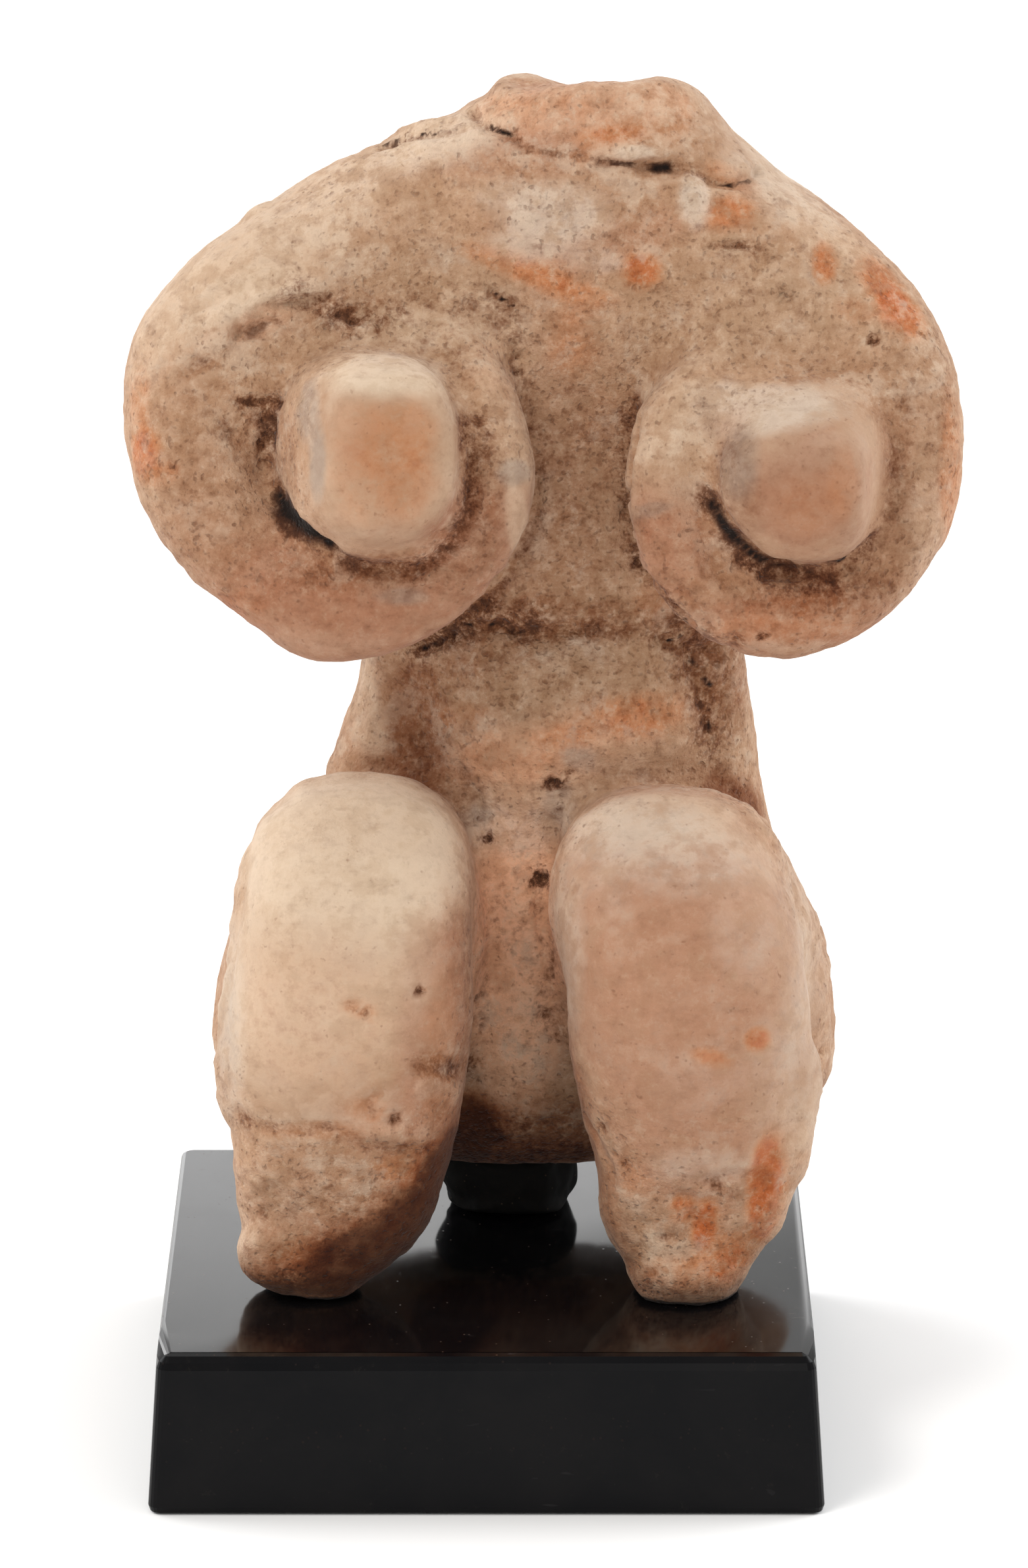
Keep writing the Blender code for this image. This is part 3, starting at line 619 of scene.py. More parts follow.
# paint: column, row, half width, half height in pixels, strength, turn where it isn't level
paintMarks = {
    "cream": [
        (520, 1270, 200, 150, 1.0), (440, 1450, 200, 200, 0.58), (420, 1600, 140, 110, 0.42),
        (775, 1400, 60, 240, 1.0), (850, 1130, 170, 60, 0.45), (775, 1250, 70, 70, 0.6),
        (400, 340, 220, 110, 0.6, 30), (235, 470, 80, 130, 0.5), (590, 562, 110, 44, 0.9),
        (570, 822, 100, 22, 0.5), (555, 1080, 30, 110, 0.6, 10), (692, 700, 14, 90, 0.22),
        (785, 790, 18, 80, 0.75, 8), (1405, 760, 50, 130, 0.35), (760, 1150, 80, 30, 0.35),
        (410, 460, 90, 40, 0.5, 15), (620, 1400, 60, 100, 0.3), (1060, 640, 60, 70, 0.4),
        (1325, 690, 22, 110, 0.15), (880, 1230, 80, 50, 0.4), (730, 440, 60, 40, 0.3),
        (1150, 1300, 80, 40, 0.4, -30), (1000, 1240, 130, 50, 0.6), (430, 1830, 40, 50, 0.3),
        (680, 200, 130, 44, 0.7, 20), (1060, 90, 60, 30, 0.3), (1180, 240, 90, 60, 0.6, -30),
        (620, 500, 110, 36, 0.5), (340, 460, 110, 30, 0.5, 30), (1180, 470, 130, 60, 0.3),
        (410, 455, 100, 44, 0.45, 15), (900, 160, 180, 44, 0.35), (770, 540, 70, 70, 0.30),
        (330, 1880, 30, 60, 0.5), (1230, 330, 100, 40, 0.5, -40),
    ],
    # blush: pinkish brown clay, and also painted shade under the discs and on the shaded side of
    # the left shin
    "blushAndShade": [
        (560, 940, 230, 70, 1.0), (720, 850, 90, 120, 1.0), (400, 900, 110, 90, 0.8),
        (320, 770, 90, 110, 0.6), (660, 1560, 60, 240, 0.8), (785, 800, 24, 80, 0.6),
        (600, 1700, 110, 60, 0.6), (1225, 750, 90, 90, 0.9), (985, 860, 34, 90, 0.8),
        (1230, 935, 150, 40, 0.9), (770, 1420, 60, 180, 0.2), (1010, 1500, 120, 200, 0.4),
        (1010, 830, 70, 100, 0.7), (1120, 960, 130, 40, 0.6), (1030, 1480, 200, 330, 0.75),
        (1000, 1290, 170, 120, 0.5), (1060, 1760, 150, 150, 0.55), (480, 1840, 150, 100, 0.5),
        (820, 170, 160, 70, 0.7), (760, 240, 200, 40, 0.4), (430, 470, 110, 40, 0.6, 20),
        (1250, 750, 120, 130, 0.5), (920, 380, 190, 40, 0.5, 20), (850, 480, 60, 90, 0.4),
        (1400, 700, 60, 240, 0.35), (700, 1420, 30, 200, 0.4), (800, 330, 100, 40, 0.3),
    ],
    # peach: painted light, lifting the shaded place between the legs and the low belly; elsewhere
    # a pale peach tone
    "peachAndPaintedLight": [
        (785, 1450, 76, 250, 1.0), (785, 1400, 50, 150, 0.6), (800, 1150, 150, 50, 0.55, 5),
        (960, 1100, 90, 50, 0.30), (880, 170, 170, 44, 0.30), (760, 560, 60, 70, 0.30),
        (1060, 1880, 70, 60, 0.25), (540, 1090, 30, 90, 0.25), (480, 1560, 140, 120, 0.20),
    ],
    "glow": [
        (544, 655, 50, 56, 0.50), (620, 655, 50, 56, 0.50), (544, 735, 50, 60, 0.50),
        (620, 735, 50, 60, 0.50), (585, 780, 60, 40, 0.30), (585, 790, 90, 20, 0.30),
        (480, 1540, 150, 160, 0.26), (1282, 735, 26, 60, 0.55), (1230, 770, 60, 60, 0.35),
        (1230, 930, 120, 30, 0.35), (770, 1160, 90, 36, 0.34), (900, 1100, 150, 44, 0.34, 8),
        (670, 1600, 34, 150, 0.35), (870, 160, 180, 40, 0.35, 5), (1150, 945, 60, 20, 0.4),
        (810, 390, 40, 30, 0.3), (974, 411, 32, 30, 0.92), (1338, 425, 44, 34, 0.84, -40),
        (1368, 474, 50, 38, 0.90, -40), (1252, 400, 20, 34, 0.75), (1310, 470, 50, 24, 0.4),
        (1107, 324, 44, 30, 0.75), (935, 205, 60, 20, 0.72, 5), (1012, 165, 52, 52, 0.55),
        (860, 150, 110, 20, 0.38), (760, 160, 60, 24, 0.45), (905, 240, 60, 16, 0.4),
        (1110, 270, 50, 20, 0.55, -20), (800, 410, 100, 22, 0.65, -20),
        (880, 446, 60, 20, 0.5, -10), (870, 520, 40, 60, 0.45), (216, 690, 34, 44, 0.85),
        (212, 610, 20, 50, 0.5), (245, 720, 30, 24, 0.5), (1444, 720, 20, 130, 0.6),
        (965, 1088, 84, 36, 0.62, 8), (855, 1125, 60, 36, 0.55, 10), (780, 1172, 60, 24, 0.30, 5),
        (700, 1090, 60, 24, 0.35), (740, 1140, 50, 30, 0.4), (1150, 1578, 22, 20, 0.95),
        (1080, 1605, 34, 14, 0.80, -15), (1130, 1372, 50, 30, 0.35), (1164, 1800, 30, 96, 1.0, -4),
        (1160, 1780, 24, 60, 1.0), (1158, 1850, 22, 40, 1.0), (1070, 1858, 20, 44, 1.0, -8),
        (1036, 1836, 22, 24, 0.85), (1112, 1920, 40, 44, 0.75), (1040, 1935, 50, 24, 0.5),
        (1100, 1900, 60, 40, 0.55, 20), (960, 1780, 40, 40, 0.4), (1020, 1930, 60, 24, 0.45),
        (605, 1775, 44, 30, 0.55), (500, 1716, 110, 14, 0.45), (560, 1682, 34, 22, 0.45),
        (545, 1532, 34, 16, 0.50, -20), (430, 1900, 60, 34, 0.35), (1190, 955, 150, 22, 0.5),
        (360, 920, 60, 40, 0.4), (1000, 905, 40, 50, 0.4), (405, 480, 60, 20, 0.45, 20),
        (1410, 900, 50, 70, 0.35), (640, 1740, 60, 20, 0.4), (750, 1520, 40, 90, 0.25),
        (730, 1480, 30, 150, 0.25),
    ],
    "lime": [
        (1225, 1400, 60, 200, 0.45), (1230, 1600, 60, 160, 0.40), (318, 1520, 30, 200, 0.4),
        (960, 1260, 110, 60, 0.50), (1130, 1400, 60, 100, 0.35), (650, 230, 120, 40, 0.4, 20),
        (1180, 275, 110, 60, 0.5, -35), (470, 320, 120, 50, 0.3, 30), (840, 325, 84, 50, 0.70),
        (800, 372, 60, 30, 0.55), (1055, 300, 26, 44, 0.85), (965, 231, 34, 11, 0.75),
        (905, 395, 50, 20, 0.5, -10), (770, 300, 50, 30, 0.5), (780, 1255, 90, 44, 0.60),
        (850, 1225, 30, 40, 0.55), (1165, 622, 105, 42, 0.90, 4), (1100, 600, 60, 24, 0.6),
        (905, 1250, 60, 70, 0.55), (1020, 1245, 60, 26, 0.45), (930, 1300, 40, 110, 0.35),
        (350, 1560, 26, 170, 0.45), (1060, 1770, 90, 30, 0.4), (1175, 1650, 50, 120, 0.3),
        (620, 550, 90, 24, 0.45), (1040, 1300, 110, 60, 0.50), (860, 1440, 30, 140, 0.45),
        (1070, 1640, 90, 60, 0.25), (880, 990, 70, 20, 0.2), (560, 1250, 80, 30, 0.2),
    ],
    "smoke": [
        (781, 717, 28, 20, 1.0), (610, 905, 40, 14, 0.75), (466, 620, 22, 50, 0.8),
        (482, 700, 14, 60, 0.8), (1120, 700, 34, 60, 0.75), (680, 1622, 34, 12, 0.6),
        (730, 1235, 22, 16, 0.7), (880, 1150, 34, 20, 0.5), (983, 776, 40, 12, 0.75, 12),
        (1050, 296, 20, 30, 0.45), (840, 330, 60, 30, 0.30), (1205, 1430, 30, 210, 0.25),
        (345, 1600, 18, 130, 0.35), (1110, 700, 30, 50, 0.45), (650, 1900, 60, 40, 0.35, 30),
        (900, 1160, 50, 18, 0.3), (880, 1145, 30, 20, 0.4),
    ],
    "crust": [
        (620, 480, 210, 120, 0.75), (720, 620, 80, 150, 0.50), (1130, 460, 190, 100, 0.70),
        (1010, 560, 90, 90, 0.60), (1030, 680, 60, 90, 0.6), (800, 1010, 210, 80, 0.85),
        (960, 1000, 110, 110, 0.7), (310, 740, 100, 150, 0.65), (1400, 640, 60, 200, 0.6),
        (520, 330, 160, 80, 0.35), (1330, 900, 110, 90, 0.4), (1110, 1090, 60, 110, 0.6),
        (480, 1800, 150, 50, 0.5), (990, 1880, 90, 80, 0.5), (420, 560, 110, 50, 0.5),
        (880, 860, 90, 90, 0.4), (775, 1280, 60, 70, 0.5),
    ],
    # umber: brown clay, and also painted shade at the waist, under the discs, in the creases and
    # low on the legs and feet
    "umberAndShade": [
        (885, 750, 90, 210, 0.42), (880, 560, 90, 120, 0.25), (585, 715, 84, 90, 0.22),
        (1235, 745, 90, 90, 0.36), (700, 530, 60, 60, 0.20), (640, 1110, 50, 110, 1.0),
        (1060, 1890, 70, 60, 0.30), (700, 1190, 60, 40, 0.25, -40), (700, 1080, 70, 110, 0.35),
        (790, 1720, 130, 70, 0.80), (720, 1000, 90, 40, 0.55), (1050, 980, 60, 90, 0.55),
        (600, 1160, 60, 16, 0.6), (1120, 1206, 60, 20, 0.6, -25), (672, 1660, 34, 130, 0.35),
        (885, 1700, 20, 110, 0.45), (1366, 740, 24, 120, 0.45), (1118, 704, 36, 60, 0.6),
        (1225, 912, 110, 26, 0.5), (560, 866, 120, 24, 0.5), (560, 1870, 130, 50, 0.45, 30),
        (640, 1790, 60, 90, 0.45, 20), (520, 1930, 120, 40, 0.55, 10), (1095, 1020, 60, 120, 0.75),
        (860, 940, 160, 40, 0.6), (760, 930, 90, 40, 0.6), (930, 1180, 60, 14, 0.2),
        (1080, 1180, 110, 26, 0.4, -15), (740, 760, 30, 110, 0.55), (560, 880, 130, 26, 0.5),
        (1120, 760, 40, 90, 0.6), (620, 1900, 90, 50, 0.65, 30), (480, 1925, 130, 44, 0.8),
        (470, 1850, 120, 60, 0.30), (590, 1820, 70, 70, 0.4), (1060, 1955, 110, 26, 0.65),
        (1260, 900, 130, 40, 0.55), (545, 480, 60, 40, 0.45), (395, 650, 60, 60, 0.45),
        (440, 700, 20, 60, 0.4), (670, 1620, 60, 24, 0.7), (1430, 620, 24, 160, 0.3),
    ],
    # soil: dark brown in pits and cracks, and also painted shade in the black gaps and low between
    # the legs
    "soilAndShade": [
        (545, 482, 48, 22, 0.38), (410, 652, 20, 36, 0.60), (372, 655, 44, 26, 0.28),
        (452, 792, 34, 20, 0.80, -45), (484, 826, 26, 14, 0.75, -40), (738, 700, 16, 60, 0.38),
        (720, 790, 20, 40, 0.34, 30), (670, 850, 50, 14, 0.30, 35), (560, 872, 80, 10, 0.28),
        (957, 630, 14, 30, 0.70, -15), (880, 720, 80, 90, 0.26), (900, 640, 60, 70, 0.18),
        (668, 976, 42, 12, 0.80, 25), (725, 950, 50, 16, 0.50, 10), (772, 952, 34, 14, 0.62),
        (865, 958, 34, 14, 0.48), (930, 965, 40, 12, 0.25), (1010, 905, 14, 44, 0.55, 35),
        (1038, 958, 32, 20, 0.60, -30), (1058, 1000, 40, 28, 0.52), (1066, 1036, 32, 30, 0.42),
        (1077, 1092, 12, 36, 0.45), (1110, 972, 26, 10, 0.50), (1098, 800, 14, 34, 0.55, 30),
        (1146, 862, 44, 12, 0.70, -32), (1235, 892, 70, 14, 0.55), (1300, 864, 44, 16, 0.42, 30),
        (1215, 915, 90, 22, 0.28), (838, 1190, 17, 11, 0.85), (864, 1172, 13, 9, 0.55),
        (742, 1272, 13, 10, 0.65), (823, 1336, 20, 15, 0.75), (815, 1382, 18, 16, 0.35),
        (828, 1535, 22, 26, 0.26), (724, 1535, 15, 46, 0.26), (730, 1440, 14, 60, 0.20),
        (690, 1618, 50, 14, 0.30), (780, 1735, 130, 46, 0.60), (637, 1505, 9, 9, 0.80),
        (601, 1700, 10, 8, 0.80), (1196, 452, 10, 8, 0.75), (1326, 516, 11, 9, 0.75),
        (787, 566, 9, 8, 0.70), (787, 538, 12, 8, 0.45), (950, 1766, 10, 10, 0.55),
        (1092, 1802, 24, 9, 0.50, -30), (912, 1712, 9, 12, 0.65), (1016, 1876, 13, 10, 0.45),
        (402, 1838, 8, 12, 0.40), (450, 1940, 60, 12, 0.40), (1010, 1955, 50, 12, 0.45),
        (640, 1140, 24, 40, 0.25), (1160, 965, 10, 8, 0.70), (560, 1342, 30, 5, 0.25),
        (545, 1536, 22, 9, 0.30, -20), (1110, 377, 36, 5, 0.45), (620, 500, 60, 30, 0.15),
        (760, 1240, 90, 20, 0.15), (1090, 1150, 120, 20, 0.22, -15),
        (710, 1180, 50, 24, 0.25, -40),
    ],
}

# clouds of the same paints on the hidden sides: size in mm, seed, how much of it
hiddenClouds = {
    "cream": (13, 21, 0.10),
    "blushAndShade": (10, 22, 0.15),
    "glow": (6, 23, -0.22),
    "lime": (7, 24, -0.22),
    "crust": (9, 25, 0.20),
    "umberAndShade": (8, 26, -0.12),
    "soilAndShade": (4, 27, -0.40),
}

# true gaps, where no light reaches: marks and half width in mm, the deepest ones first
blackGaps = [
    ([(424, 754), (436, 772)], 0.62),
    ([(436, 772), (458, 792), (482, 808)], 1.10),
    ([(482, 808), (502, 824)], 0.60),
    ([(1082, 766), (1096, 790), (1117, 817)], 0.56),
    ([(1117, 817), (1140, 838), (1158, 849)], 0.44),
    ([(1158, 849), (1190, 861)], 0.30),
    ([(1212, 862), (1230, 866)], 0.24),
    ([(1258, 856), (1282, 846)], 0.24),
    ([(994, 255), (1012, 254)], 0.50),
    ([(926, 246), (990, 253)], 0.21),
    ([(586, 221), (606, 215)], 0.28),
    ([(640, 205), (664, 202)], 0.18),
    ([(746, 194), (764, 201), (776, 204)], 0.24),
    ([(1088, 278), (1112, 282), (1138, 275)], 0.20),
    ([(752, 447), (778, 464)], 0.22),
    ([(645, 984), (664, 977), (690, 966)], 0.28),
    ([(704, 946), (722, 950)], 0.22), ([(744, 948), (762, 946)], 0.22),
    ([(778, 956), (794, 958)], 0.24), ([(1034, 926), (1042, 944)], 0.22),
    ([(1014, 972), (1034, 964)], 0.20), ([(1048, 1000), (1056, 1010)], 0.26),
    ([(1068, 1030), (1078, 1040)], 0.26), ([(1074, 1094), (1078, 1112)], 0.20),
]

# soft brown shade where the clay turns down or in: marks, width in mm, strength
duskLines = [
    ([(700, 1710), (684, 1770), (650, 1838), (594, 1892), (526, 1930)], 3.7, 2.0),
    ([(526, 1940), (450, 1956), (392, 1948)], 2.2, 1.3),
    ([(700, 1420), (706, 1560), (700, 1700)], 2.0, 0.40),
    ([(866, 1600), (895, 1720), (915, 1800), (935, 1880), (975, 1955)], 2.0, 0.9),
    ([(1010, 1960), (1100, 1955)], 1.4, 0.6),
    ([(300, 830), (390, 900), (520, 930), (640, 920), (730, 860), (770, 790)], 4.4, 0.62),
    ([(420, 800), (500, 856), (600, 880), (690, 850), (736, 770)], 2.2, 0.50),
    ([(1000, 800), (1040, 880), (1120, 930), (1230, 930), (1330, 880)], 4.0, 0.70),
    ([(1104, 650), (1112, 700), (1120, 760), (1160, 820), (1240, 836), (1310, 800)], 2.0, 0.55),
    ([(1180, 730), (1260, 740)], 4.0, 0.50),
    ([(700, 640), (704, 740), (680, 810), (620, 850)], 1.6, 0.55),
    ([(1344, 640), (1350, 720), (1330, 800), (1274, 846)], 1.8, 0.55),
    ([(1090, 650), (1112, 700), (1130, 760)], 1.6, 0.45),
    ([(280, 620), (262, 700), (290, 790)], 3.6, 0.40),
    ([(480, 1560), (440, 1640)], 5.0, 0.20),
    ([(330, 1560), (350, 1680)], 3.0, 0.25),
    ([(1236, 1380), (1244, 1500), (1230, 1640)], 2.4, 0.35),
    ([(640, 1960), (560, 1990)], 1.0, 0.8),
    ([(1400, 640), (1410, 760), (1380, 860)], 3.4, 0.42),
    ([(560, 700), (620, 740)], 4.0, 0.36),
    ([(300, 640), (290, 760)], 3.4, 0.26),
    ([(720, 900), (790, 880), (812, 800)], 1.6, 0.45),
    ([(964, 760), (980, 860), (1012, 915), (1060, 960)], 1.6, 0.50),
    ([(560, 1160), (630, 1168)], 1.4, 0.6),
    ([(1086, 1196), (1150, 1226)], 1.6, 1.0),
    ([(606, 1030), (624, 1100), (646, 1160)], 2.4, 0.52),
    ([(680, 1736), (780, 1758), (886, 1752)], 3.0, 1.25),
]

# darker brown along edges and in furrows: marks, width in mm, strength
darkLines = [
    ([(372, 612), (424, 612), (408, 660), (398, 690)], 0.9, 0.70),
    ([(424, 740), (450, 800), (500, 834), (560, 856), (640, 854), (682, 820), (708, 765),
      (714, 700), (704, 650)], 1.1, 0.56),
    ([(1076, 756), (1102, 802), (1136, 844), (1184, 864), (1240, 866), (1286, 850), (1320, 814)],
     1.1, 0.60),
    ([(1326, 822), (1352, 760), (1356, 690)], 0.9, 0.34),
    ([(960, 610), (952, 650), (948, 700)], 0.9, 0.60),
    ([(948, 700), (950, 770), (968, 850), (1004, 902), (1036, 945)], 0.9, 0.70),
    ([(826, 640), (822, 790), (780, 880), (710, 940), (650, 980)], 0.8, 0.42),
    ([(640, 982), (690, 950), (750, 927), (806, 944)], 1.5, 0.84),
    ([(800, 948), (880, 940), (960, 950), (1010, 966)], 1.5, 0.46),
    ([(1010, 976), (1060, 966), (1110, 974)], 1.2, 0.62),
    ([(1040, 1000), (1064, 1034), (1078, 1080), (1080, 1120)], 1.5, 0.66),
    ([(716, 1350), (712, 1430), (716, 1520), (710, 1600)], 1.3, 0.32),
    ([(830, 1330), (840, 1390), (840, 1460), (842, 1560)], 1.2, 0.30),
    ([(744, 1380), (752, 1440), (740, 1500)], 1.0, 0.20),
    ([(800, 1480), (790, 1540), (800, 1600)], 1.0, 0.18),
    ([(300, 560), (350, 510), (400, 492), (450, 462)], 0.9, 0.26),
    ([(441, 440), (505, 470), (545, 486), (590, 480)], 1.3, 0.60),
    ([(620, 440), (690, 470), (740, 440)], 1.0, 0.30),
    ([(750, 446), (790, 520), (806, 600), (806, 700)], 1.3, 0.40),
    ([(1040, 372), (1100, 366), (1150, 384)], 0.8, 0.34),
    ([(1390, 560), (1380, 620)], 1.0, 0.30),
    ([(583, 222), (640, 206), (700, 191)], 0.50, 0.40),
    ([(714, 168), (730, 186), (776, 204), (800, 224)], 0.50, 0.42),
    ([(800, 226), (860, 237), (926, 246), (1030, 252), (1086, 276)], 0.50, 0.34),
    ([(690, 530), (730, 570), (770, 560)], 0.9, 0.30),
    ([(732, 640), (744, 690)], 0.9, 0.52),
    ([(860, 1182), (900, 1176), (960, 1170), (1020, 1184)], 0.6, 0.22),
    ([(566, 1166), (630, 1174), (690, 1210), (712, 1250)], 0.6, 0.20),
    ([(1070, 1196), (1110, 1210), (1160, 1236)], 0.8, 0.36),
    ([(640, 1612), (672, 1622), (714, 1616)], 1.1, 0.60),
    ([(360, 1700), (440, 1712), (500, 1712), (560, 1738), (650, 1742)], 0.8, 0.42),
    ([(1300, 460), (1340, 500), (1330, 520)], 0.8, 0.30),
]

# weathered, crumbling places: column, row, half width, half height, height in mm
crumblyPlaces = [
    (415, 470, 140, 70, 0.30), (545, 485, 70, 44, 0.24), (390, 650, 70, 60, 0.18),
    (760, 960, 190, 44, 0.14), (1070, 1010, 80, 90, 0.18), (780, 1250, 110, 60, 0.18),
    (820, 1420, 70, 150, 0.15), (1110, 330, 70, 70, 0.12), (1150, 410, 150, 60, 0.12),
    (1020, 1890, 100, 90, 0.16), (490, 1830, 170, 90, 0.14), (900, 150, 200, 70, 0.12),
    (600, 205, 90, 34, 0.16), (900, 340, 190, 90, 0.10), (250, 640, 70, 130, 0.12),
    (1200, 900, 140, 40, 0.14), (620, 860, 120, 30, 0.10), (1370, 470, 70, 60, 0.14),
]


def clayCopy(node):
    # the CAD triangles welded, then one even skin over them
    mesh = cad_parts[node].data.copy()
    bm = bmesh.new()
    bm.from_mesh(mesh)
    bmesh.ops.remove_doubles(bm, verts=bm.verts, dist=hair)
    bm.to_mesh(mesh)
    bm.free()
    carrier = putInScene(node + "Copy", mesh)
    modifier = carrier.modifiers.new("skin", "REMESH")
    modifier.mode = "VOXEL"
    modifier.voxel_size = clayForm["grain"]
    modifier.adaptivity = 0.0
    depsgraph = bpy.context.evaluated_depsgraph_get()
    skin = bpy.data.meshes.new_from_object(carrier.evaluated_get(depsgraph))
    bpy.data.objects.remove(carrier)
    bpy.data.meshes.remove(mesh)
    return skin


def shelterOf(clay, rays=14, reach=11 * mm):
    # how much of the sky over each point the clay itself hides
    goldenAngle = 2.39996
    directions = []
    for step in range(rays):
        rise = math.sqrt((step + 0.5) / rays)
        swing = step * goldenAngle
        directions.append((math.cos(swing) * math.sqrt(1 - rise * rise),
                           math.sin(swing) * math.sqrt(1 - rise * rise), rise))
    hidden = np.zeros(len(clay.points))
    for place, (point, normal) in enumerate(zip(clay.points.tolist(), clay.normals.tolist())):
        facing = Vector(normal)
        side = facing.orthogonal().normalized()
        other = facing.cross(side)
        start = Vector(point) + facing * (0.05 * mm)
        total = 0.0
        for x, y, z in directions:
            hit = clay.tree.ray_cast(start, side * x + other * y + facing * z, reach)
            if hit[0] is not None:
                total += 1.0 - hit[3] / reach
        hidden[place] = total / rays
    return hidden


def fitForms(clay):
    # the main forms drawn to the photograph's outline
    clay.relax(clayForm["calm"])
    clay.refresh()
    for column, row, across, up, right, high in pulls:
        weight = clay.oval(column, row, across, up, deep=clayForm["pullReach"]) ** 2
        clay.points += weight[:, None] * (sightRight * right + sightUp * high) * pixel
    clay.refresh()
    for *place, forward in swollenSoles:
        clay.points[:, 1] -= clay.oval(*place, deep=clayForm["soleReach"]) * forward * mm
    clay.refresh()


def burnishOf(clay):
    # rubbed places stay smoother than the rest
    burnish = np.zeros(len(clay.points))
    for column, row, across, up, strength, *turn in burnishedPlaces:
        weight = clay.oval(column, row, across, up, *turn, deep=clayForm["burnishReach"])
        burnish = np.maximum(burnish, np.clip(weight * 2.2, 0, 1) * strength)
    return clay.spread(burnish, 12)


def modelRelief(clay, rough):
    # gives back how deep in a pit each point lies
    widen = clayForm["widen"]
    clay.push(fieldOf(clay.points, *clayForm["noise"]["swell"]), clayForm["swell"])
    clay.push(fieldOf(clay.points, *clayForm["noise"]["knead"]) * rough, clayForm["knead"])
    clay.refresh()
    print("unevenness done")

    for column, row, across, up, height, *turn in swellsAndHollows:
        clay.push(clay.oval(column, row, across * widen, up * widen, *turn) ** 1.5, height * mm)
    for side, x, z, radius, height in hiddenMarks:
        clay.push(clay.near(clay.felt(x, z, side), radius * mm) ** 1.5, height * mm)
    for *place, passes in rubbedPlaces:
        weight = clay.oval(*place, deep=clayForm["rubReach"])
        clay.rub(np.clip(weight * 1.6, 0, 1), passes, 0.6)
    clay.refresh()
    print("swellings and hollows done")

    wobble = fieldOf(clay.points, *clayForm["noise"]["wobble"])
    for marks, width, height in groovesAndRidges:
        weight = clay.line(marks, width * mm * widen)
        clay.push(np.clip(weight * (1 + clayForm["waver"] * wobble), 0, 1.3) ** 1.3, height * mm)
    for marks, width in blackGaps[:clayForm["deepGaps"]]:
        clay.rub(np.clip(clay.line(marks, 2.0 * mm) * 1.6, 0, 1), 5, 0.5)
    clay.refresh()

    holes = np.zeros(len(clay.points))
    dents = [(clay.seen(column, row), radius * mm * clayForm["widenPits"], depth)
             for column, row, radius, depth in pits]
    dents += [(clay.felt(x, z, side), radius * mm * widen, depth)
              for side, x, z, radius, depth in hiddenPits]
    for centre, radius, depth in dents:
        weight = clay.near(centre, radius)
        clay.push(weight, -depth * mm)
        holes = np.maximum(holes, weight * min(0.8, depth * 1.1))
    clay.refresh()

    clay.push(fieldOf(clay.points, *clayForm["noise"]["crumb"]) * rough, clayForm["crumb"])
    flakes = np.abs(fieldOf(clay.points, *clayForm["noise"]["flake"])) * -2.0 + 0.7
    for *place, height in crumblyPlaces:
        weight = clay.oval(*place, deep=clayForm["crumbleReach"])
        clay.push(np.clip(weight * 2, 0, 1) * flakes, height * mm)
    print("pits and cracks done")
    return holes


def settleSoles(clay):
    # the soles come down onto the stone
    whole, fade = 0.3 * mm, 0.9 * mm         # heights over the stone: all of it, then less
    start, run = 0.5 * mm, 2 * mm            # how far forward: only the feet, not the seat
    clearance = 0.02 * mm
    low = np.clip(1 - (clay.points[:, 2] - stoneTop - whole) / fade, 0, 1)
    front = np.clip((-clay.points[:, 1] - start) / run, 0, 1)
    clay.points[:, 2] -= clayForm["settle"] * low * front
    clay.points[:, 2] = np.maximum(clay.points[:, 2], stoneTop + clearance)
    clay.refresh()


def shelterAndWearOf(clay):
    # how much sky each point loses to the clay itself, used for painted shade, and what weather
    # and wear do by themselves
    shelter = clay.spread(shelterOf(clay), 3)
    smallBend, wideBend = 0.10 * mm, 0.45 * mm     # so deep or high, it counts in full
    calm = clay.spread(clay.points, 10)
    bend = ((calm - clay.points) * clay.normals).sum(axis=1) / smallBend
    calm = clay.spread(calm, 60)
    broad = ((calm - clay.points) * clay.normals).sum(axis=1) / wideBend
    print("shelter and wear done")
    return {
        "shelter": np.clip(shelter * 1.6, 0, 1),
        "hollow": np.clip(bend, 0, 1),
        "ridge": np.clip(-bend * 0.8 - broad * 0.4, 0, 1),
    }


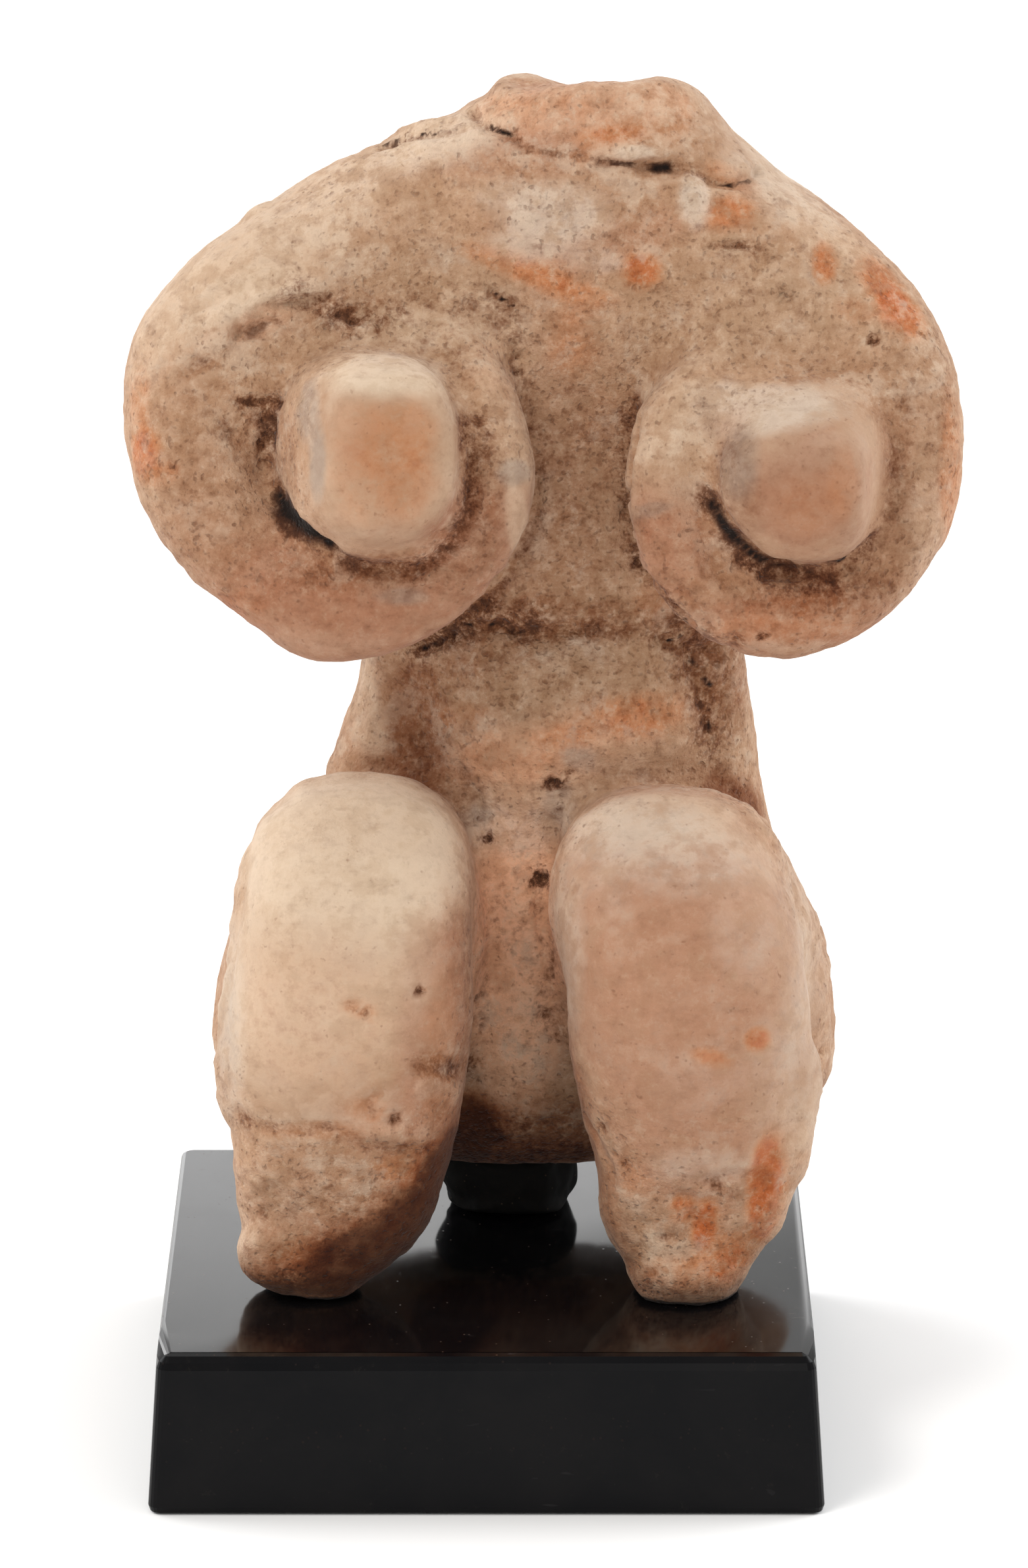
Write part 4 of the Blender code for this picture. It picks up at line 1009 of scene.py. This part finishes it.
def paintClay(clay, painted, holes):
    # painted marks seen in the photograph, and clouds of the same on the hidden sides
    nothing = np.zeros(len(clay.points))
    widen = clayForm["widenPaint"]
    for name, marks in paintMarks.items():
        field = nothing
        for column, row, across, up, strength, *turn in marks:
            deep = max(max(across, up) * widen * pixel, clayForm["paintReach"])
            weight = clay.oval(column, row, across * widen, up * widen, *turn, deep=deep)
            weight = np.clip(weight * (1.7 if name == "soilAndShade" else 1.25), 0, 1) * strength
            field = np.maximum(field, weight) + 0.25 * np.minimum(field, weight)
        painted[name] = np.clip(field, 0, 1)
    gap = nothing
    for marks, width in blackGaps:
        near = clay.line(marks, width * mm * clayForm["widenGaps"])
        gap = np.maximum(gap, 1.0 - np.sqrt(1.0 - near))      # 0.75 at the gap's own edge
    painted["gap"] = gap
    soilAndShade = painted["soilAndShade"]
    for marks, width, strength in darkLines:
        weight = clay.line(marks, width * mm * clayForm["widenDarkLines"])
        soilAndShade = np.maximum(soilAndShade, weight * strength)
    painted["soilAndShade"] = np.clip(np.maximum(soilAndShade * 0.85, holes * 0.8), 0, 1)
    # painted contact shadow along the soles, where they meet the stone
    sole = np.clip(1.4 - (clay.points[:, 2] - stoneTop) / clayForm["soleShadow"], 0, 1)
    painted["sole"] = sole * (clay.points[:, 1] < 4 * mm)
    # painted shade: darker where the clay faces down and along the dusk lines
    under = np.clip((-clay.spread(clay.normals[:, 2], 4) - 0.12) * 1.1, 0, 0.7)
    for marks, width, strength in duskLines:
        under = np.maximum(under, clay.line(marks, width * mm * widen) * strength)
    painted["under"] = clay.spread(under, 6)
    unseen = np.clip((clay.normals @ -sightBack - 0.05) * 3, 0, 1)
    for name, (size, seed, bias) in hiddenClouds.items():
        field = np.clip(fieldOf(clay.points, size * mm, seed, 2) * 1.5 + bias, 0, 1)
        painted[name] = np.clip(painted[name] + field * unseen, 0, 1)
    print("paint done")


def makeIdol():
    mesh = clayCopy("idol")
    clay = Clay(mesh)
    print("clay skin", len(clay.points), "points")
    fitForms(clay)
    burnish = burnishOf(clay)
    holes = modelRelief(clay, 1.0 - clayForm["worn"] * burnish)
    settleSoles(clay)
    painted = shelterAndWearOf(clay)
    painted["burnish"] = burnish
    paintClay(clay, painted, holes)

    mesh.vertices.foreach_set("co", clay.points.ravel())
    for name, values in painted.items():
        layer = mesh.attributes.new(name, "FLOAT", "POINT")
        layer.data.foreach_set("value", np.ascontiguousarray(values, dtype=np.float32))
    mesh.shade_smooth()
    mesh.update()
    mesh.name = "idolSkin"
    mesh.materials.clear()
    mesh.materials.append(clayFinish())
    return putInScene("idolSkin", mesh)


def clayTint(red, green, blue, level=0.88):
    # the clay's own colour is darker than it looks in bright light
    return tuple(part * level for part in tint(red, green, blue)[:3]) + (1.0,)


clayTints = {
    "biscuit": clayTint(201, 163, 132),
    "biscuitDeep": clayTint(177, 134, 102),
    "cream": clayTint(227, 200, 173),
    # the pinkish brown below also lays painted shade under the discs, and the pale peach lays
    # painted light between the legs
    "blushAndShade": clayTint(182, 131, 102),
    "peachAndPaintedLight": clayTint(252, 196, 158),
    "glow": clayTint(200, 131, 84),
    "ember": clayTint(188, 94, 42),
    "lime": clayTint(222, 202, 183),
    "smoke": clayTint(158, 144, 132),
    "crust": clayTint(183, 149, 119),
    # the clay browns below also lay painted shade; the near black is only painted shade, in the
    # gaps and under the soles
    "umberAndShade": clayTint(148, 98, 65),
    "earth": clayTint(116, 69, 41),
    "soilAndShade": clayTint(70, 40, 24),
    "shadowBlack": clayTint(24, 13, 8),
    "dust": clayTint(230, 207, 182),
    # these are multiplied over what lies under them
    # the first two darken the colour as painted shade
    "shade": (0.60, 0.38, 0.25, 1.0),
    "gloom": (0.34, 0.27, 0.23, 1.0),
    "cloudy": (0.79, 0.73, 0.67, 1.0),
    "rubbed": (0.86, 0.91, 0.93, 1.0),
    "rust": (0.82, 0.66, 0.55, 1.0),
}

# painted name, tint, strength, how ragged its edge is, where it starts and is full
stains = [
    ("blushAndShade", "blushAndShade", 0.85, 0.8, 0.05, 0.95),
    ("crust", "crust", 0.70, 1.2, 0.05, 0.95),
    ("cream", "cream", 0.88, 0.5, 0.05, 0.95),
    ("umberAndShade", "umberAndShade", 0.85, 0.8, 0.05, 1.00),
    ("peachAndPaintedLight", "peachAndPaintedLight", 0.85, 0.6, 0.05, 0.95),
    ("glow", "glow", 0.86, 1.1, 0.05, 0.95),
    ("glow", "ember", 0.88, 0.8, 0.60, 1.15),
    ("lime", "lime", 0.72, 1.1, 0.05, 0.95),
    ("smoke", "smoke", 0.62, 1.0, 0.05, 0.95),
]


def clayFinish():
    clay = Finish("firedClay")
    clouds = clayForm["clouds"]
    names = ["shelter", "hollow", "ridge", "burnish", "gap", "sole", "under", *paintMarks]
    painted = {name: clay.painted(name) for name in names}
    broad = clay.cloud(clouds["broad"], 4.0, 0.6, 0.3)
    middle = clay.cloud(clouds["middle"], 5.0, 0.66, 0.15, shift=0.31)
    fine = clay.cloud(clouds["fine"], 4.0, 0.66, shift=0.12)
    grit = clay.cloud(clouds["grit"], 3.0, 0.6, shift=0.57)
    streak = clay.cloud(clouds["streak"], 4.0, 0.62, 0.2, stretch=(0.6, 0.8, 1.5), shift=0.77)
    ragged = (fine - 0.5) * 1.1 + (middle - 0.5) * 1.3
    rough = 1.0 - painted["burnish"] * 0.72
    colour = clayTints["biscuit"]

    def lay(factor, shade, mode="MIX"):
        # one more thin layer over what is there
        nonlocal colour
        colour = clay.blend(factor, colour, clayTints[shade], mode)

    # body colour, mottled at two sizes, then the stains; the blush and umber ones also lay painted
    # shade, the peach one painted light
    lay((broad + (middle - 0.5) * 0.5).step(0.36, 0.66), "biscuitDeep")
    for name, shade, strength, tear, start, full in stains:
        lay((painted[name] * (1.0 + ragged * tear)).step(start, full) * strength, shade)

    # worn high places, and mottling down to single grains
    lay((painted["ridge"] + (fine - 0.5) * 0.9).step(0.25, 1.2) * 0.22, "dust")
    lay((middle.step(0.50, 0.70) * 0.32 + fine.step(0.50, 0.70) * 0.30
         + streak.step(0.50, 0.72) * 0.24) * (rough * 0.8 + 0.2), "earth")
    lay((fine.step(0.48, 0.30) * 0.26 + grit.step(0.50, 0.30) * 0.12) * rough, "dust")
    lay(painted["burnish"] * 0.6, "rubbed", "MULTIPLY")

    # darker and lighter clouds as wide as a fingertip's pressure
    lay(middle.step(0.56, 0.40) * (0.22 + rough * 0.38), "cloudy", "MULTIPLY")
    patch = broad + (middle - 0.5) * 1.2
    lay(patch.step(0.52, 0.34) * rough * 0.54, "cloudy", "MULTIPLY")
    lay(patch.step(0.54, 0.74) * rough * 0.34, "dust")
    lay((painted["umberAndShade"] * 0.5 + painted["crust"] * 0.35) * fine.step(0.46, 0.66),
        "rust", "MULTIPLY")

    # brown flecks in loose flocks, thicker where the darker marks are painted
    flock = clay.cloud(clouds["flock"], 3.0, 0.6, 0.4, shift=1.9)
    fleck = clay.cloud(clouds["fleck"], 1.0, 0.5, shift=2.6)
    crowd = (flock.step(0.46, 0.66) * 0.06 + painted["soilAndShade"] * 0.13 + painted["crust"] * 0.03
             + painted["umberAndShade"] * 0.05 - painted["burnish"] * 0.06 - painted["cream"] * 0.04)
    flecks = (fleck + crowd + (fine - 0.5) * 0.12).step(0.61, 0.84)
    lay(flecks * 0.42, "earth")
    lay((fleck + crowd * 1.3).step(0.80, 0.98) * 0.40, "soilAndShade")
    # darker brown in the soil marks and in small hollows
    darkening = (painted["soilAndShade"] * (0.74 + ragged * 2.3 + (grit - 0.5) * 1.8)
            + painted["hollow"] * 0.22 * rough * (1.0 + ragged))
    lay(darkening.step(0.12, 0.75) * 0.85, "earth")
    lay(darkening.step(0.48, 1.05) * 0.85, "soilAndShade")

    # painted shade under the overhangs, on faces turned down and in the deep places, then the open
    # gaps painted near black where no light reaches
    paintedShade = (painted["under"] * 1.00 + painted["shelter"] * 0.16) * (1.0 + ragged * 0.6)
    lay(paintedShade.step(0.0, 1.25) * 0.95, "shade", "MULTIPLY")
    lay(paintedShade.step(0.80, 1.45) * 0.92, "gloom", "MULTIPLY")
    gap = painted["gap"] + ragged * 0.09 + (grit - 0.5) * 0.12
    lay(gap.step(0.62, 0.84) * 0.90, "soilAndShade")
    lay(gap.step(0.78, 0.94), "shadowBlack")
    # the soles' painted contact shadow, near black
    lay((painted["sole"] + ragged * 0.5).step(0.30, 0.85) * 0.9, "shadowBlack")

    clay.feed(colour=colour, specular=clayForm["specular"], sheen=clayForm["sheen"],
              sheenRoughness=0.5, sheenTint=clayForm["sheenTint"],
              roughness=clayForm["roughness"] - painted["burnish"] * clayForm["polish"]
              + (grit - 0.5) * 0.12)
    clay.relief(0.9, clayForm["relief"],
                (fine * 0.55 + grit * 0.30 + streak * 0.35) * rough - flecks * 0.35 * rough)
    return clay.material


idol = makeIdol()
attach(idol, "root")
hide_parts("idol")
print("idol done", len(idol.data.polygons), "quads")


# the polished black stone
stoneForm = {
    "lean": 0.8 * mm,
    "cornerBevel": 1.0 * mm,
    "topBevel": 1.1 * mm,        # along the front
    "sideBevel": 0.35 * mm,
    "footBevel": 0.6 * mm,
    "frontDepth": 2.2 * mm,      # edges this close to the front are the front's
    "sideStart": 4 * mm,         # edges that reach further back than this are the side's
    "grain": 0.55 * mm,
    # roughness, IOR, then how strongly its grains, dust and scratches show
    "surfaces": {
        "polishedStone": (0.09, 1.36, 0.40, 0.16, 0.22),
        "honedStone": (0.22, 1.19, 0.06, 0.05, 0.06),
    },
}


def bevelEdges(bm, edges, offset, segments):
    bmesh.ops.bevel(bm, geom=edges, offset=stoneForm[offset], offset_type="OFFSET",
                    segments=segments, profile=0.5, affect="EDGES", material=-1)


def makeBlock():
    low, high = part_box("display_block")
    size, centre = high - low, (high + low) / 2
    bm = bmesh.new()
    bmesh.ops.create_cube(bm, size=1.0)
    bmesh.ops.scale(bm, vec=size, verts=bm.verts)
    bmesh.ops.translate(bm, vec=centre, verts=bm.verts)
    for vertex in bm.verts:
        if vertex.co.z > centre.z:
            vertex.co.x -= math.copysign(stoneForm["lean"], vertex.co.x - centre.x)
            vertex.co.y -= math.copysign(stoneForm["lean"], vertex.co.y - centre.y)
    upright = [e for e in bm.edges if abs(e.verts[0].co.z - e.verts[1].co.z) > size.z / 2]
    bevelEdges(bm, upright, "cornerBevel", 5)

    def rim(wanted):
        return [e for e in bm.edges if min(v.co.z for v in e.verts) > high.z - hair
                and wanted(max(v.co.y for v in e.verts) - low.y)]

    bevelEdges(bm, rim(lambda back: back < stoneForm["frontDepth"]), "topBevel", 3)
    bevelEdges(bm, rim(lambda back: back > stoneForm["sideStart"]), "sideBevel", 2)
    foot = [e for e in bm.edges if max(v.co.z for v in e.verts) < low.z + hair]
    bevelEdges(bm, foot, "footBevel", 2)
    bm.normal_update()
    for face in bm.faces:
        face.smooth = True
        face.material_index = 0 if face.normal.z > 0.90 else 1
        if face.normal.z > 0.999:
            for vertex in face.verts:        # one true plane, so it mirrors evenly
                vertex.co.z = high.z
    mesh = meshFrom(bm, "stoneBlock")
    mesh.set_sharp_from_angle(angle=math.radians(14))
    for name in stoneForm["surfaces"]:
        mesh.materials.append(stoneFinish(name))
    return putInScene("stoneBlock", mesh)


def stoneFinish(name):
    roughness, ior, grainShow, dustShow, scratchShow = stoneForm["surfaces"][name]
    stone = Finish(name)
    grains = stone.grains(stoneForm["grain"], (0.24, 0.08), (0.74, 0.82))
    dust = stone.cloud(1.1 * mm, 4.0, 0.65, 0.3)
    haze = stone.cloud(9 * mm, 3.0, 0.6, 0.5)
    scratch = stone.cloud(0.7 * mm, 1.0, 0.5, 0.6, stretch=(0.22, 1.0, 1.0), shift=0.2)
    lines = scratch.step(0.74, 0.78) * haze.step(0.45, 0.70)
    colour = stone.blend(haze.step(0.35, 0.7), tint(8, 8, 10), tint(14, 13, 14))
    colour = stone.blend(grains * grainShow, colour, tint(96, 70, 54))
    colour = stone.blend(dust.step(0.60, 0.80) * dustShow, colour, tint(80, 72, 60))
    colour = stone.blend(lines * scratchShow, colour, tint(110, 108, 108))
    stone.feed(colour=colour, ior=ior,
               roughness=roughness + haze.step(0.4, 0.8) * 0.05 + lines * 0.25
               + dust.step(0.62, 0.80) * 0.12 + grains * 0.2)
    stone.relief(0.10, 0.03 * mm, 0.4 * haze - lines * 0.6 + grains * 0.3)
    return stone.material


block = makeBlock()
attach(block, "root")
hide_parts("display_block")
print("block done", len(block.data.polygons), "faces")


# the dab of putty under the seat
puttyForm = {
    "lumps": 0.50 * mm,
    "strands": 0.14 * mm,
    "flare": 0.12 * mm,          # how far the foot creeps out over the stone
    "bulge": 0.55 * mm,          # squeezed out to the left, under the seat
    "rise": 0.35 * mm,           # drawn taller than the solid before it is smoothed
    "roughness": 0.72,
    "specular": 0.22,
}


def makePutty():
    low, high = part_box("seat_putty")
    size, centre = high - low, (high + low) / 2
    bm = bmesh.new()
    bmesh.ops.create_icosphere(bm, subdivisions=6, radius=1.0)
    for vertex in bm.verts:
        way = vertex.co.copy()
        flat = Vector((way.x, way.y, 0.0))
        boxy = 1.0 / max(abs(way.x) ** 4 + abs(way.y) ** 4 + abs(way.z) ** 4, 1e-6) ** 0.25
        height = way.z * boxy
        narrow = min(1.0, 1.0 / max(flat.length * boxy, 1e-6))
        lump = noise.fractal(Vector((way.x, way.y, way.z * 0.5)) * 1.5 + Vector((4, 1, 7)),
                             0.9, 2.0, 2)
        strand = noise.fractal(Vector((way.x * 5, way.y * 5, way.z * 1.3)) + Vector((2, 9, 3)),
                               0.9, 2.0, 2)
        vertex.co = Vector((flat.x * boxy * narrow * size.x / 2,
                            flat.y * boxy * narrow * size.y / 2,
                            height * (size.z / 2 + puttyForm["rise"])))
        out = flat.normalized() if flat.length > 0.05 else Vector((0, 0, 0))
        side = max(0.0, -out.x) * max(0.0, 1 - ((height - 0.35) / 0.8) ** 2)
        foot = max(0.0, -height - 0.55) ** 1.5 * 2.2
        vertex.co += out * (lump * puttyForm["lumps"] + strand * puttyForm["strands"]
                            + side * puttyForm["bulge"] + foot * puttyForm["flare"])
    bmesh.ops.translate(bm, vec=centre, verts=bm.verts)
    for _ in range(2):
        bmesh.ops.smooth_vert(bm, verts=bm.verts, factor=0.5, use_axis_x=True,
                              use_axis_y=True, use_axis_z=True)
    for vertex in bm.verts:
        vertex.co.z = max(vertex.co.z, stoneTop + 0.01 * mm)
    for face in bm.faces:
        face.smooth = True
    mesh = meshFrom(bm, "seatPutty")
    mesh.materials.append(puttyFinish())
    return putInScene("seatPutty", mesh)


def puttyFinish():
    putty = Finish("blackPutty")
    knead = putty.cloud(1.4 * mm, 3.0, 0.6, 0.8)
    fine = putty.cloud(0.3 * mm, 3.0, 0.6)
    fluff = putty.grains(0.4 * mm, (0.25, 0.1), (0.70, 0.80))
    colour = putty.blend(knead.step(0.4, 0.7), tint(10, 9, 8), tint(18, 16, 14))
    colour = putty.blend(fluff * 0.30, colour, tint(100, 80, 64))
    putty.feed(colour=colour, roughness=puttyForm["roughness"] + knead * 0.25,
               specular=puttyForm["specular"])
    putty.relief(0.5, 0.08 * mm, knead * 0.8 + fine * 0.35)
    return putty.material


putty = makePutty()
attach(putty, "root")
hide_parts("seat_putty")
print("putty done", len(putty.data.polygons), "faces")


# floor and light
studio = {
    "floorSize": 6.0,
    "floor": tint(252, 252, 252),
    "sky": (1.0, 0.99, 0.98, 1.0),
    "skyPower": 0.70,
    "sheetSize": 3.2,
    "sheetPlace": (0, 2.9, 1.6),
    "sheet": tint(235, 235, 235),
    "sheetPower": 1.8,
    "sheetFade": (1.12, 0.95),         # its light dies away from the first height to the second
    "aim": (0, 0, 0.055),
    # name: place, size, watts, colour
    "lamps": {
        "key": ((-0.55, -0.50, 0.85), 0.50, 4.8, (1.0, 0.965, 0.92)),
        "fill": ((0.30, -1.10, 0.50), 0.60, 1.1, (1.0, 0.98, 0.95)),
        "leftRim": ((-0.95, 0.42, 0.55), 0.80, 6.0, (0.95, 0.98, 1.0)),
        "rightRim": ((0.95, 0.30, 0.60), 0.80, 8.0, (0.95, 0.98, 1.0)),
    },
}


def makeFloor():
    bm = bmesh.new()
    bmesh.ops.create_grid(bm, x_segments=2, y_segments=2, size=studio["floorSize"] / 2)
    floor = putInScene("floor", meshFrom(bm, "floor"))
    floor.location = (0, 0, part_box("display_block")[0][2] - 0.02 * mm)
    paper = Finish("paleFloor")
    paper.feed(colour=studio["floor"], roughness=0.95, specular=0.0)
    floor.data.materials.append(paper.material)


def makeBackdrop():
    # a bright sheet far behind, which the polished stone mirrors
    bm = bmesh.new()
    bmesh.ops.create_grid(bm, x_segments=1, y_segments=1, size=studio["sheetSize"] / 2)
    bmesh.ops.rotate(bm, cent=(0, 0, 0), matrix=Matrix.Rotation(math.radians(90), 3, "X"),
                     verts=bm.verts)
    bmesh.ops.translate(bm, vec=studio["sheetPlace"], verts=bm.verts)
    backdrop = putInScene("backdrop", meshFrom(bm, "backdrop"))
    sheet = Finish("brightSheet")
    height = sheet.node("ShaderNodeSeparateXYZ", None, {"Vector": sheet.place}, outlet="Z")
    light = sheet.blend(height.step(*studio["sheetFade"]), (0.12, 0.12, 0.12, 1.0),
                        (1.0, 1.0, 1.0, 1.0))
    sheet.feed(colour=studio["sheet"], glow=light, glowPower=studio["sheetPower"])
    backdrop.data.materials.append(sheet.material)


def makeLight():
    world = bpy.data.worlds.new("studio")
    world.use_nodes = True
    sky = world.node_tree.nodes["Background"]
    sky.inputs["Color"].default_value = studio["sky"]
    sky.inputs["Strength"].default_value = studio["skyPower"]
    bpy.context.scene.world = world
    for name, (place, size, watts, colour) in studio["lamps"].items():
        light = bpy.data.lights.new(name, "AREA")
        light.shape = "DISK"
        light.size = size
        light.energy = watts
        light.color = colour
        lamp = putInScene(name, light)
        lamp.location = place
        aim = Vector(studio["aim"]) - Vector(place)
        lamp.rotation_euler = aim.to_track_quat("-Z", "Y").to_euler()
    bpy.context.scene.view_settings.view_transform = "Standard"


makeFloor()
makeBackdrop()
makeLight()
print("floor and light done")
